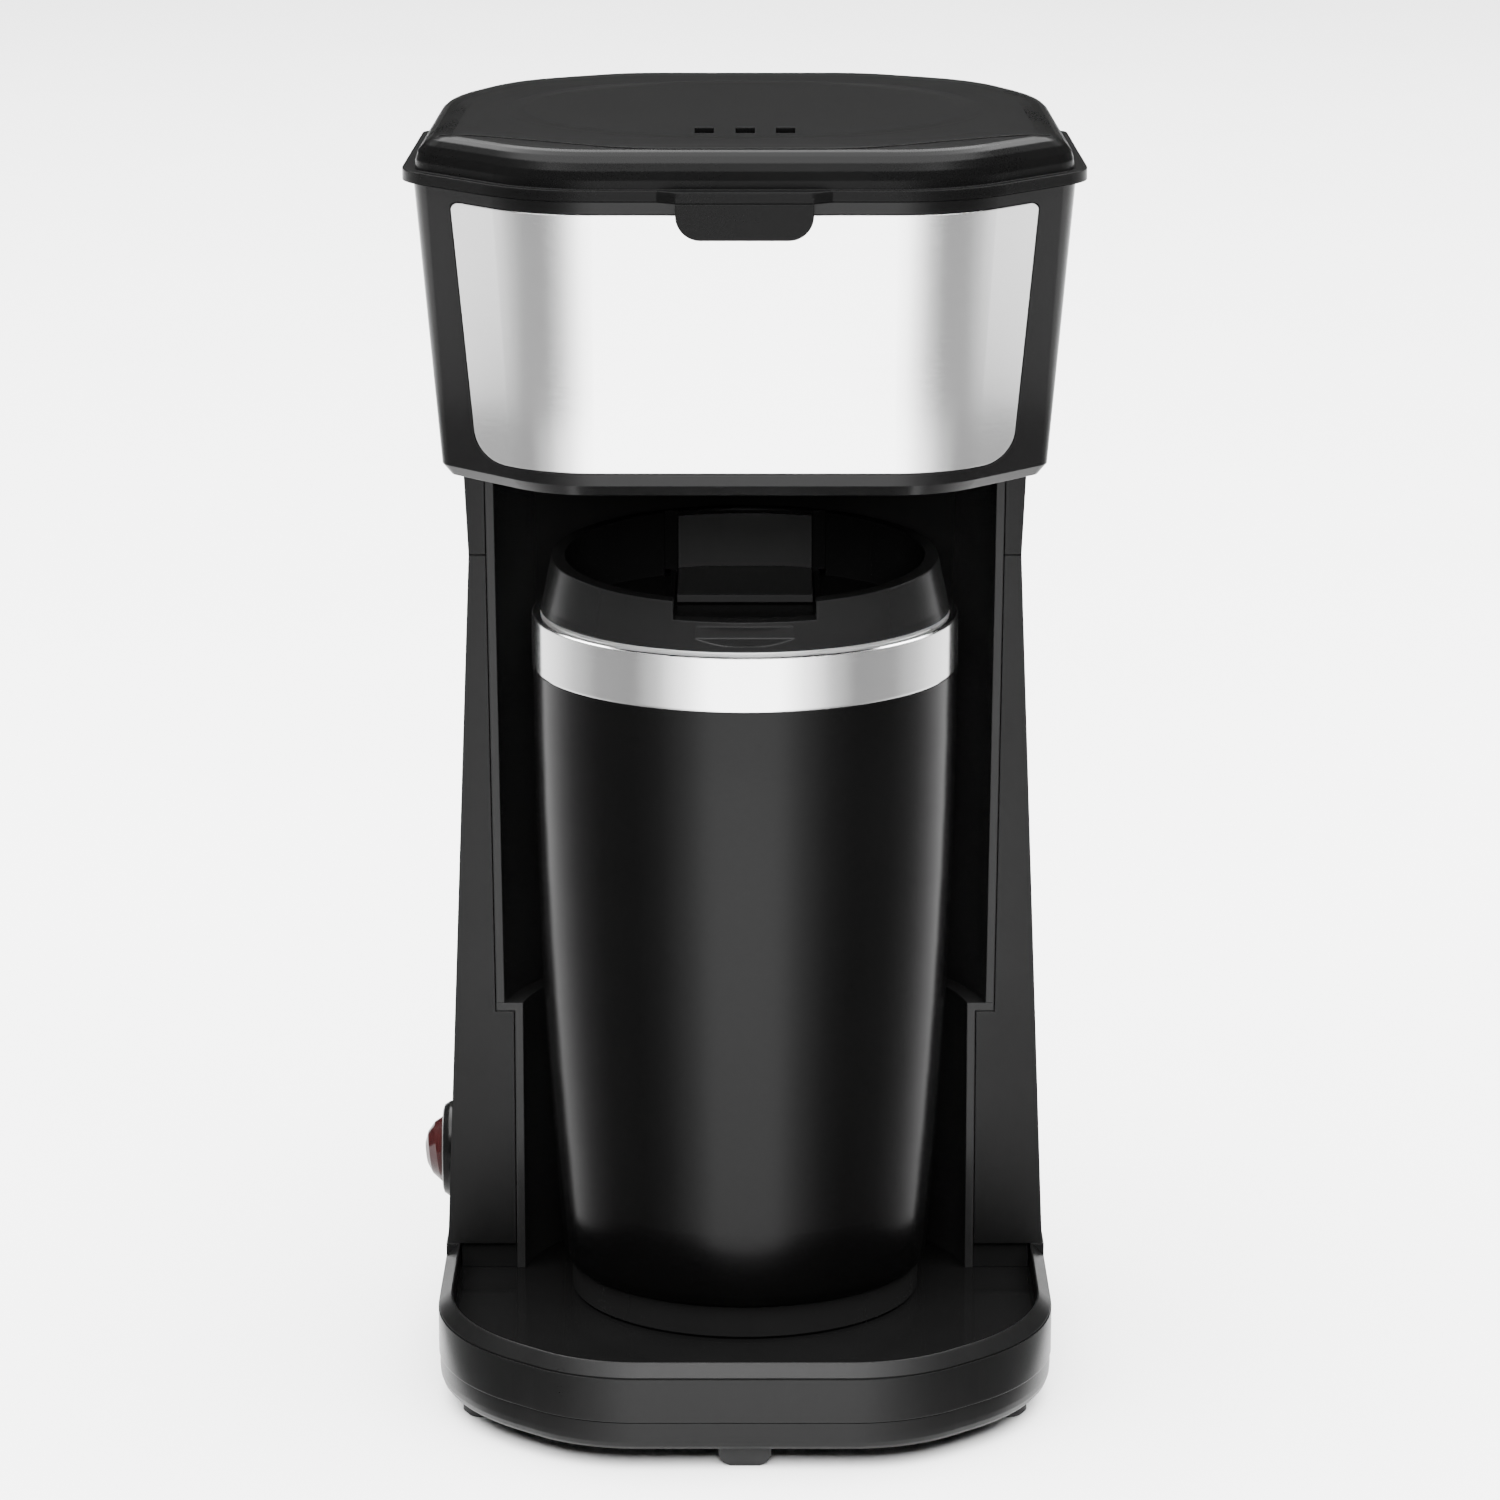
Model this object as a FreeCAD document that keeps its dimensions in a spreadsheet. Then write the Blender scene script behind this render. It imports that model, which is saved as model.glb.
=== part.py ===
import FreeCAD, Part
import Sketcher
import math
import os
import re

# Single-serve drip coffee maker with its travel mug.
# Frame: +Z up, the front faces -Y, the switch is on the -X side. The origin is the middle of the
# whole object's footprint, on the surface that the feet stand on. Sizes are in millimetres.

os.makedirs("parts", exist_ok=True)
doc = FreeCAD.newDocument("CoffeeMaker")
Vector = FreeCAD.Vector

# ---------------------------------------------------------------------------------------------
# Driving dimensions
# ---------------------------------------------------------------------------------------------
SIZES = {
    # heights above the table
    "plate_bottom": 4.0,
    "plate_top": 10.4,
    "tray_floor": 17.0,
    "rim_top": 22.5,
    "liner_step": 76.6,
    "column_top": 174.5,
    "head_bottom": 201.5,
    "head_edge": 203.8,
    "head_top": 261.4,
    "lid_edge_top": 263.7,
    "lid_top": 271.55,
    # plan of the lid's edge, the widest outline of the machine
    "lid_half_width": 68.3,
    "lid_front": -75.65,
    "lid_back": 72.75,
    "front_flat": 42.3,
    "front_corner_y": -49.25,
    # plan of the drip tray's inner edge
    "tray_half_width": 61.8,
    "tray_front": -73.05,
    "tray_flat": 33.0,
    "tray_corner_y": -48.75,
    "rim_width": 3.0,
    "rim_chamfer": 2.7,
    # walls
    "shell_wall": 2.5,
    "liner_wall": 1.7,
    "plate_wall": 2.2,
    "tray_thickness": 2.5,
    # mug bay
    "mug_axis_y": -7.25,
    "column_front": 1.75,
    "lower_bay_radius": 48.3,
    "upper_bay_radius": 52.2,
    "top_bay_radius": 53.6,
    # travel mug, heights above its own foot
    "mug_foot_radius": 36.9,
    "mug_foot_height": 7.0,
    "mug_shoulder_radius": 38.7,
    "mug_shoulder_height": 9.6,
    "mug_top_radius": 44.3,
    "mug_band_bottom": 136.6,
    "mug_band_top": 148.0,
    "mug_band_radius": 44.5,
    "mug_shell_wall": 0.8,
    "mug_liner_radius": 40.8,
    "mug_liner_foot_radius": 33.6,
    "mug_liner_wall": 0.6,
    "mug_lid_rim_radius": 39.8,
    "mug_lid_rim_height": 162.4,
    "mug_lid_floor": 148.0,
    "mug_lid_recess_radius": 38.2,
    "mug_plug_radius": 38.6,
    "mug_plug_bottom": 138.5,
    "slider_half_width": 14.2,
    "slider_height": 13.0,
    # brewing group
    "funnel_mouth_radius": 41.5,
    "funnel_wall": 1.8,
    "nozzle_bottom": 199.6,
    "nozzle_radius": 8.0,
    "basket_rim_bottom": 258.2,
    "basket_rim_radius": 45.4,
    "basket_mouth_radius": 39.5,
    "basket_floor": 216.0,
    "basket_floor_radius": 18.2,
    "deck_bottom": 256.0,
    "deck_thickness": 2.0,
    # steel panel on the head's front
    "panel_top": 258.5,
    "panel_bottom": 206.4,
    "panel_top_half_width": 58.1,
    "panel_low_half_width": 53.3,
    "panel_skin": 0.7,
    # water tank
    "tank_top": 253.8,
    "tank_floor": 207.0,
    "tank_bottom": 100.0,
    "tank_wall": 1.8,
    "tank_well_radius": 47.2,
    # lid
    "lid_roof": 268.6,
    "tab_depth": 2.1,
    "tab_bottom": 254.2,
    # hinge of the lid
    "hinge_y": 75.15,
    "hinge_z": 263.0,
    "knuckle_radius": 2.6,
    "pin_radius": 1.2,
    "pin_clearance": 0.05,
    # switch on the left wall
    "switch_y": 19.0,
    "switch_z": 38.5,
    "switch_seat_x": 62.6,
    "bezel_radius": 10.4,
    "rocker_radius": 7.6,
    "rocker_tilt": 7.0,
    # heater, behind the bay
    "heater_y": 56.0,
    "heater_z": 33.0,
    "heater_half_length": 24.0,
    "hose_radius": 3.4,
    "hose_x": 34.0,
    "hose_bend": 9.0,
    "riser_x": -38.0,
    "riser_y": 42.5,
}

sheet = doc.addObject("Spreadsheet::Sheet", "Sheet")
for line, (alias, number) in enumerate(SIZES.items(), start=1):
    sheet.set(f"A{line}", alias)
    sheet.set(f"B{line}", str(number))
    sheet.setAlias(f"B{line}", alias)
doc.recompute()


def value(expression):
    """The number that an expression of sheet aliases comes to."""
    result = sheet.evalExpression(str(expression))
    return float(getattr(result, "Value", result))


def bound(expression):
    """The same expression, as another object of the document has to write it."""
    return re.sub(r"[a-z_]+", lambda word: "Sheet." + word.group(0), str(expression))


def bind(thing, **expressions):
    """Binds properties to the sheet; two underscores stand for a dot."""
    for name, expression in expressions.items():
        thing.setExpression(name.replace("__", "."), bound(expression))


def place(thing, x="0", y="0", z="0"):
    """Binds where a whole sub-part stands."""
    bind(thing, Placement__Base__x=x, Placement__Base__y=y, Placement__Base__z=z)


sub_parts = []


def kept(thing, label):
    """Names a finished sub-part and keeps it for the export."""
    thing.Label = label
    sub_parts.append(thing)
    return thing


# ---------------------------------------------------------------------------------------------
# Plan outlines: the corners of the right half from front to back, each with its radius
# ---------------------------------------------------------------------------------------------
def lid_outline():
    """Edge of the lid: flat front, sloping corners, almost straight sides and a rounded back."""
    return [
        (value("front_flat"), value("lid_front"), 30),
        (value("lid_half_width"), value("front_corner_y"), 12),
        (value("lid_half_width - 3"), value("lid_back - 40"), 60),
        (value("lid_half_width - 17.3"), value("lid_back - 13"), 45),
        (25, value("lid_back"), 45),
    ]


def tray_outline():
    """Inner edge of the drip tray's rim: its front corners are long, wide curves."""
    return [
        (value("tray_flat"), value("tray_front"), 30),
        (value("tray_half_width"), value("tray_corner_y"), 45),
        (value("tray_half_width - 0.5"), value("lid_back - 40.25"), 60),
        (value("tray_half_width - 14.3"), value("lid_back - 15.25"), 38),
        (23, value("lid_back - rim_width"), 42),
    ]


def moved_in(outline, *distances):
    """An outline with its edges moved in.

    One distance serves for all; six are for the front, corner, side, flank, heel and back.
    """
    count = len(outline)
    if len(distances) == 1:
        distances = distances * (count + 1)
    points = [(x, y) for x, y, _ in outline]
    ends = [(-points[0][0], points[0][1])] + points + [(-points[-1][0], points[-1][1])]
    lines = []
    for (ax, ay), (bx, by), distance in zip(ends, ends[1:], distances):
        length = math.hypot(bx - ax, by - ay)
        ux, uy = (bx - ax) / length, (by - ay) / length
        lines.append((ax - uy * distance, ay + ux * distance, ux, uy))
    corners = []
    for number, (first, second) in enumerate(zip(lines, lines[1:])):
        ax, ay, ux, uy = first
        bx, by, vx, vy = second
        along = ((bx - ax) * vy - (by - ay) * vx) / (ux * vy - uy * vx)
        shrink = (distances[number] + distances[number + 1]) / 2
        radius = max(outline[number][2] - shrink, 1.0)
        corners.append((ax + ux * along, ay + uy * along, radius))
    return corners


def behind(outline, front_y, corner_radius=0.0):
    """The part of an outline behind a straight front edge."""
    rear = [corner for corner in outline if corner[1] > front_y]
    ax, ay, _ = outline[len(outline) - len(rear) - 1]
    bx, by, _ = rear[0]
    x = ax + (bx - ax) * (front_y - ay) / (by - ay)
    return [(x, front_y, corner_radius)] + rear


def outline_geometry(right_half):
    """Lines and tangent arcs of a whole outline, anticlockwise seen from above."""
    corners = list(right_half) + [(-x, y, radius) for x, y, radius in reversed(right_half)]
    count = len(corners)
    starts, arcs = [], []
    for number, (x, y, radius) in enumerate(corners):
        before_x, before_y, before_radius = corners[number - 1]
        after_x, after_y, after_radius = corners[(number + 1) % count]
        before, after, here = Vector(before_x, before_y, 0), Vector(after_x, after_y, 0), Vector(x, y, 0)
        way_in = (here - before).normalize()
        way_out = (after - here).normalize()
        turn = math.atan2(way_in.x * way_out.y - way_in.y * way_out.x, way_in.dot(way_out))
        if radius <= 0:
            starts.append((here, here))
            arcs.append(None)
            continue
        room = min(before.distanceToPoint(here) * (0.55 if before_radius else 0.95),
                   after.distanceToPoint(here) * (0.55 if after_radius else 0.95))
        reach = min(radius * math.tan(turn / 2), room)
        radius = reach / math.tan(turn / 2)
        touch_in = here - way_in * reach
        touch_out = here + way_out * reach
        centre = touch_in + Vector(-way_in.y, way_in.x, 0) * radius
        begin = math.atan2(touch_in.y - centre.y, touch_in.x - centre.x)
        circle = Part.Circle(centre, Vector(0, 0, 1), radius)
        arcs.append(Part.ArcOfCircle(circle, begin, begin + turn))
        starts.append((touch_in, touch_out))
    geometry = []
    for number in range(count):
        if arcs[number]:
            geometry.append(arcs[number])
        geometry.append(Part.LineSegment(starts[number][1], starts[(number + 1) % count][0]))
    return geometry


# ---------------------------------------------------------------------------------------------
# Features
# ---------------------------------------------------------------------------------------------
def new_body(name):
    return doc.addObject("PartDesign::Body", name)


def new_sketch(body, name, role="XY_Plane", height=None):
    """A sketch on one of the body's own planes, moved along the plane's normal by height."""
    sketch = body.newObject("Sketcher::SketchObject", name)
    plane = [feature for feature in body.Origin.OriginFeatures if feature.Role == role][0]
    sketch.AttachmentSupport = [(plane, "")]
    sketch.MapMode = "FlatFace"
    if height is not None:
        bind(sketch, AttachmentOffset__Base__z=height)
    return sketch


def joined(sketch, geometry):
    """Adds closed geometry and ties each end to the next start."""
    first = sketch.GeometryCount
    sketch.addGeometry(geometry)
    count = len(geometry)
    for number in range(count):
        following = first + (number + 1) % count
        sketch.addConstraint(Sketcher.Constraint("Coincident", first + number, 2, following, 1))


def polygon(sketch, points):
    """A closed polygon whose corners are expressions, each held by its two distances."""
    places = [(value(across), value(up)) for across, up in points]
    first = sketch.GeometryCount
    corners = [Vector(across, up, 0) for across, up in places]
    joined(sketch, [Part.LineSegment(a, b) for a, b in zip(corners, corners[1:] + corners[:1])])
    for number, (across, up) in enumerate(points):
        for kind, expression in (("DistanceX", across), ("DistanceY", up)):
            datum = Sketcher.Constraint(kind, -1, 1, first + number, 1, value(expression))
            index = sketch.addConstraint(datum)
            sketch.setExpression(f"Constraints[{index}]", bound(expression))


def circle(sketch, across, up, radius):
    """A circle held by its centre's distances and its radius."""
    centre = Vector(value(across), value(up), 0)
    index = sketch.addGeometry(Part.Circle(centre, Vector(0, 0, 1), value(radius)))
    for kind, expression in (("DistanceX", across), ("DistanceY", up)):
        datum = sketch.addConstraint(Sketcher.Constraint(kind, -1, 1, index, 3, value(expression)))
        sketch.setExpression(f"Constraints[{datum}]", bound(expression))
    datum = sketch.addConstraint(Sketcher.Constraint("Radius", index, value(radius)))
    sketch.setExpression(f"Constraints[{datum}]", bound(radius))


def prism(body, name, outline, bottom, length, cut=False):
    """A plan outline raised from bottom by length, added to or cut from the body."""
    sketch = new_sketch(body, name + "_plan", height=bottom)
    joined(sketch, outline_geometry(outline))
    feature = body.newObject("PartDesign::Pocket" if cut else "PartDesign::Pad", name)
    feature.Profile = sketch
    feature.Reversed = cut
    bind(feature, Length=length)
    return feature


def drilled(body, name, circles, bottom, length, cut=True):
    """Upright round holes (or pegs), all in one feature, from bottom up by length."""
    sketch = new_sketch(body, name + "_plan", height=bottom)
    for across, deep, radius in circles:
        circle(sketch, across, deep, radius)
    feature = body.newObject("PartDesign::Pocket" if cut else "PartDesign::Pad", name)
    feature.Profile = sketch
    feature.Reversed = cut
    bind(feature, Length=length)
    return feature


def loft(body, name, sections, cut=False):
    """Straight-sided skin through plan outlines at rising heights: (outline, height) pairs."""
    sketches = []
    for number, (outline, height) in enumerate(sections):
        sketch = new_sketch(body, f"{name}_plan_{number}", height=height)
        joined(sketch, outline_geometry(outline))
        sketches.append(sketch)
    feature = body.newObject("PartDesign::SubtractiveLoft" if cut else "PartDesign::AdditiveLoft", name)
    feature.Profile = sketches[0]
    feature.Sections = sketches[1:]
    feature.Ruled = True
    return feature


def turned(body, name, profile, cut=False):
    """A profile of (radius, height) expressions turned about the body's upright axis."""
    sketch = new_sketch(body, name + "_profile", role="XZ_Plane")
    polygon(sketch, profile)
    feature = body.newObject("PartDesign::Groove" if cut else "PartDesign::Revolution", name)
    feature.Profile = sketch
    feature.ReferenceAxis = (sketch, ["V_Axis"])
    feature.Angle = 360
    return feature


def across_body(body, name, points, half_length, role="YZ_Plane", cut=False):
    """A side profile run evenly both ways from the middle plane."""
    sketch = new_sketch(body, name + "_profile", role=role)
    polygon(sketch, points)
    feature = body.newObject("PartDesign::Pocket" if cut else "PartDesign::Pad", name)
    feature.Profile = sketch
    feature.Midplane = True
    bind(feature, Length=f"2 * ({half_length})")
    return feature


def block(body, name, low, high, cut=False):
    """A box between two corners given as expressions."""
    kind = "PartDesign::SubtractiveBox" if cut else "PartDesign::AdditiveBox"
    feature = body.newObject(kind, name)
    for side, a, b in zip(("Length", "Width", "Height"), low, high):
        bind(feature, **{side: f"({b}) - ({a})"})
    place(feature, *low)
    return feature


def drum(body, name, start, radius, length, axis="z", cut=False):
    """A cylinder from start along +X, +Y or +Z."""
    kind = "PartDesign::SubtractiveCylinder" if cut else "PartDesign::AdditiveCylinder"
    feature = body.newObject(kind, name)
    bind(feature, Radius=radius, Height=length)
    turns = {"x": (Vector(0, 1, 0), 90), "y": (Vector(1, 0, 0), -90), "z": (Vector(0, 0, 1), 0)}
    feature.Placement = FreeCAD.Placement(Vector(0, 0, 0), FreeCAD.Rotation(*turns[axis]))
    place(feature, *start)
    return feature


def polar(body, feature, count):
    """Repeats a feature evenly about the body's upright axis."""
    pattern = body.newObject("PartDesign::PolarPattern", feature.Name + "_ring")
    pattern.Originals = [feature]
    axis = [item for item in body.Origin.OriginFeatures if item.Role == "Z_Axis"][0]
    pattern.Axis = (axis, [""])
    pattern.Angle = 360
    pattern.Occurrences = count
    body.Tip = pattern
    return pattern


# ---------------------------------------------------------------------------------------------
# Base: shell with the drip tray, bottom plate, feet and their screws
# ---------------------------------------------------------------------------------------------
BASE_SCREWS = [("46", "-40"), ("-46", "-40"), ("30", "56"), ("-30", "56")]
COLUMN_SCREWS = [("57.5", "7.2"), ("-57.5", "7.2"), ("24", "64.3"), ("-24", "64.3")]
SIDE_FEET = [("54.5", "-41"), ("-54.5", "-41")]
REAR_FEET = [("42", "48"), ("-42", "48")]


def base_shell():
    body = new_body("BaseShell")
    outer = moved_in(tray_outline(), -value("rim_width"))
    rear = behind(outer, value("column_front"))
    prism(body, "base_wall", outer, "plate_top", "rim_top - rim_chamfer - plate_top")
    rim_edge = moved_in(tray_outline(), -0.3)
    loft(body, "rim_slope", [(outer, "rim_top - rim_chamfer"), (rim_edge, "rim_top")])
    prism(body, "rear_wall", rear, "rim_top - rim_chamfer - 1", "rim_chamfer + 1")
    prism(body, "tray", tray_outline(), "tray_floor", "rim_top - tray_floor + 1", cut=True)
    inner = moved_in(tray_outline(), 0.5)
    prism(body, "underside", inner, "plate_top", "tray_floor - tray_thickness - plate_top", cut=True)
    drilled(body, "screw_posts", [(x, y, "4") for x, y in BASE_SCREWS], "plate_bottom + plate_wall",
            "tray_floor - tray_thickness + 0.5 - plate_bottom - plate_wall", cut=False)
    drilled(body, "post_bores", [(x, y, "1.55") for x, y in BASE_SCREWS], "plate_bottom + plate_wall",
            "7.5", cut=True)
    drilled(body, "column_bores", [(x, y, "1.75") for x, y in COLUMN_SCREWS],
            "tray_floor - tray_thickness - 1", "tray_thickness + 2", cut=True)
    return kept(body, "base_shell")


def bottom_plate():
    body = new_body("BottomPlate")
    outer = moved_in(tray_outline(), 0.25 - value("rim_width"))
    rounding = []
    for inward, rise in ((2.2, 0), (1.3, 0.35), (0.7, 1.0), (0.35, 2.0), (0.25, 3.2)):
        rounding.append((moved_in(tray_outline(), inward - value("rim_width")), f"plate_bottom + {rise}"))
    loft(body, "lower_edge", rounding)
    prism(body, "plate_wall_ring", outer, "plate_bottom + 3.2", "plate_top - plate_bottom - 3.2")
    inside = moved_in(tray_outline(), 1.2)
    prism(body, "plate_hollow", inside, "plate_bottom + plate_wall", "plate_top - plate_bottom", cut=True)
    drilled(body, "screw_holes", [(x, y, "1.8") for x, y in BASE_SCREWS], "plate_bottom - 1", "5")
    feet = SIDE_FEET + REAR_FEET
    drilled(body, "foot_holes", [(x, y, "2.05") for x, y in feet], "plate_bottom - 1", "5")
    drilled(body, "front_foot_hole", [("0", "-68", "2.05")], "plate_bottom - 1", "5")
    for number in range(5):
        low = (f"{number * 9 - 19.5}", "8", "plate_bottom - 1")
        high = (f"{number * 9 - 16.5}", "34", "plate_bottom + 4")
        block(body, f"vent_slot_{number}", low, high, cut=True)
    return kept(body, "bottom_plate")


def round_foot(label, x, y, radius):
    """A rubber foot: a pad below the plate, a neck through its hole and a lip above it."""
    body = new_body(label.title().replace("_", ""))
    turned(body, label + "_turn", [
        ("0", "0"), (f"{radius} - 0.8", "0"), (radius, "0.8"), (radius, "plate_bottom"),
        ("2", "plate_bottom"), ("2", "plate_bottom + plate_wall"),
        ("2.8", "plate_bottom + plate_wall"), ("1.4", "plate_bottom + plate_wall + 2"),
        ("0", "plate_bottom + plate_wall + 2"),
    ])
    place(body, x, y)
    return kept(body, label)


def front_foot():
    """The middle foot is a bar with rounded lower corners, under the front edge."""
    body = new_body("FrontFoot")
    sketch = new_sketch(body, "front_foot_face", role="XZ_Plane", height="65")
    polygon(sketch, [
        ("-5.5", "plate_bottom"), ("-5.3", "2.0"), ("-4.4", "0.7"), ("-3", "0"), ("3", "0"),
        ("4.4", "0.7"), ("5.3", "2.0"), ("5.5", "plate_bottom"),
    ])
    pad = body.newObject("PartDesign::Pad", "front_foot_bar")
    pad.Profile = sketch
    pad.Length = 8
    drum(body, "front_foot_neck", ("0", "-68", "plate_bottom - 0.5"), "2", "plate_wall + 0.5")
    drum(body, "front_foot_lip", ("0", "-68", "plate_bottom + plate_wall"), "2.8", "1.4")
    return kept(body, "front_foot")


def screws(label, places, under_head, length):
    """Pan-head screws standing head down, one solid each."""
    parts = []
    for number, (x, y) in enumerate(places):
        head = doc.addObject("Part::Cylinder", f"{label}_head_{number}")
        bind(head, Radius="2.9", Height="1.6")
        place(head, x, y, f"{under_head} - 1.6")
        shank = doc.addObject("Part::Cylinder", f"{label}_shank_{number}")
        bind(shank, Radius="1.5", Height=length)
        place(shank, x, y, under_head)
        slot = doc.addObject("Part::Box", f"{label}_slot_{number}")
        bind(slot, Length="4", Width="0.8", Height="1.4")
        place(slot, f"{x} - 2", f"{y} - 0.4", f"{under_head} - 2.2")
        whole = doc.addObject("Part::Fuse", f"{label}_whole_{number}")
        whole.Base, whole.Tool = head, shank
        cut = doc.addObject("Part::Cut", f"{label}_{number}")
        cut.Base, cut.Tool = whole, slot
        parts.append(cut)
    group = doc.addObject("Part::Compound", label.title().replace("_", ""))
    group.Links = parts
    return kept(group, label)


base_shell()
bottom_plate()
front_foot()
for side, (x, y) in zip(("right", "left"), SIDE_FEET):
    round_foot(f"{side}_side_foot", x, y, "4.6")
for side, (x, y) in zip(("right", "left"), REAR_FEET):
    round_foot(f"{side}_rear_foot", x, y, "7")
screws("base_screws", BASE_SCREWS, "plate_bottom", "9.5")
screws("column_screws", COLUMN_SCREWS, "tray_floor - tray_thickness", "14")


# ---------------------------------------------------------------------------------------------
# Column: outer shell and the two black liners of the mug bay
# ---------------------------------------------------------------------------------------------
def column_foot_plan(inward=0.0, front=0.0):
    outer = moved_in(tray_outline(), 0.4 + inward - value("rim_width"))
    return behind(outer, value("column_front") + front)


def column_head_plan(inward=0.0, front=0.0):
    outer = moved_in(lid_outline(), 8, 8.2, 8.4 + inward, 6.5 + inward, 4.5 + inward, 3.5 + inward)
    return behind(outer, value("column_front") + front)


def column_tongue_plan(inward=0.0, front=0.0):
    """The column's foot, which stands inside the drip tray's rim, a little behind the front edges."""
    return behind(moved_in(tray_outline(), 0.3 + inward), value("column_front") + front)


def column_shell():
    body = new_body("ColumnShell")
    wall = value("shell_wall")
    loft(body, "column_outside", [(column_foot_plan(), "rim_top"), (column_head_plan(), "column_top")])
    prism(body, "tongue", column_tongue_plan(0.0, 0.8), "tray_floor", "rim_top - tray_floor + 1")
    loft(body, "column_inside", [
        (column_foot_plan(wall, wall), "rim_top + 2.5"),
        (column_head_plan(wall, wall), "column_top + 0.01"),
    ], cut=True)
    prism(body, "tongue_inside", column_tongue_plan(2.2, wall + 0.8), "tray_floor - 1",
          "rim_top - tray_floor + 4", cut=True)
    bay = ("0", "mug_axis_y", "tray_floor - 1")
    drum(body, "lower_bay", bay, "lower_bay_radius + liner_wall + 0.2",
         "column_top - tray_floor + 2", cut=True)
    cone_bay(body, "upper_bay", "liner_step - liner_wall - 0.2", "column_top + 1", 0.2)
    drilled(body, "column_posts", [(x, y, "3.4") for x, y in COLUMN_SCREWS], "tray_floor", "14.5", cut=False)
    drilled(body, "column_post_bores", [(x, y, "1.55") for x, y in COLUMN_SCREWS], "tray_floor - 1", "14.2")
    seat = ("-(switch_seat_x + 6)", "switch_y", "switch_z")
    drum(body, "bezel_seat", seat, "bezel_radius + 0.2", "6", axis="x", cut=True)
    seat = ("-(switch_seat_x + 1)", "switch_y", "switch_z")
    drum(body, "switch_hole", seat, "9.6", "6", axis="x", cut=True)
    drum(body, "cord_hole", ("14", "60", "34"), "5.1", "16", axis="y", cut=True)
    return kept(body, "column_shell")


def bay_radius(height, extra=0.0):
    """Radius of the upper bay, which widens evenly from its step to its top, at a height."""
    slope = value("(top_bay_radius - upper_bay_radius) / (head_bottom - liner_step)")
    return value("upper_bay_radius") + slope * (height - value("liner_step")) + extra


def cone_bay(body, name, bottom, top, gap):
    """Cuts the upper liner's outside, with a gap, out of a shell."""
    low, high = value(bottom), value(top)
    wall = value("liner_wall") + gap
    feature = body.newObject("PartDesign::SubtractiveCone", name)
    feature.Radius1 = bay_radius(low, wall)
    feature.Radius2 = bay_radius(high, wall)
    bind(feature, Height=f"({top}) - ({bottom})")
    place(feature, "0", "mug_axis_y", bottom)
    return feature


def lower_liner():
    """Round back wall of the bay's lower half, with a ledge on top that meets the wider half."""
    body = new_body("LowerLiner")
    turned(body, "lower_liner_turn", [
        ("lower_bay_radius", "tray_floor"),
        ("lower_bay_radius + liner_wall", "tray_floor"),
        ("lower_bay_radius + liner_wall", "liner_step - liner_wall"),
        ("upper_bay_radius + liner_wall", "liner_step - liner_wall"),
        ("upper_bay_radius + liner_wall", "liner_step"),
        ("lower_bay_radius", "liner_step"),
    ])
    block(body, "lower_front_cut", ("-80", "-80", "0"), ("80", "column_front - mug_axis_y", "100"), cut=True)
    place(body, "0", "mug_axis_y")
    return kept(body, "lower_bay_liner")


def upper_liner():
    body = new_body("UpperLiner")
    turned(body, "upper_liner_turn", [
        ("upper_bay_radius", "liner_step"),
        ("upper_bay_radius + liner_wall", "liner_step"),
        ("top_bay_radius + liner_wall", "head_bottom"),
        ("top_bay_radius", "head_bottom"),
    ])
    block(body, "upper_front_cut", ("-80", "-80", "0"), ("80", "column_front - mug_axis_y", "260"), cut=True)
    place(body, "0", "mug_axis_y")
    return kept(body, "upper_bay_liner")


column_shell()
lower_liner()
upper_liner()


# ---------------------------------------------------------------------------------------------
# Head: shell with its neck, steel front panel and inner deck
# ---------------------------------------------------------------------------------------------
def head_bottom_plan(inward=0.0):
    return moved_in(lid_outline(), *[edge + inward for edge in (9.4, 9.4, 9.2, 6.6, 4.6, 3.6)])


def head_edge_plan(inward=0.0):
    return moved_in(lid_outline(), *[edge + inward for edge in (7.3, 7.3, 7.3, 5.5, 4.0, 3.2)])


def head_top_plan(inward=0.0):
    return moved_in(lid_outline(), 2.2 + inward)


def head_plan(height, inward=0.0):
    """Outline of the head's outside at a height between its lower edge and its top."""
    share = (height - value("head_edge")) / (value("head_top") - value("head_edge"))
    low, high = head_edge_plan(inward), head_top_plan(inward)
    return [tuple(a + (b - a) * share for a, b in zip(*pair)) for pair in zip(low, high)]


def neck_top_plan(inward=0.0, front=0.0):
    return behind(head_edge_plan(inward - 0.3), value("column_front") + front)


def tank_neck_plan(inward=0.0, front=0.0):
    outer = moved_in(lid_outline(), *[edge + 3.4 + inward for edge in (12, 12, 10, 7.5, 5.2, 3.6)])
    return behind(outer, 50.5 + front)


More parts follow.
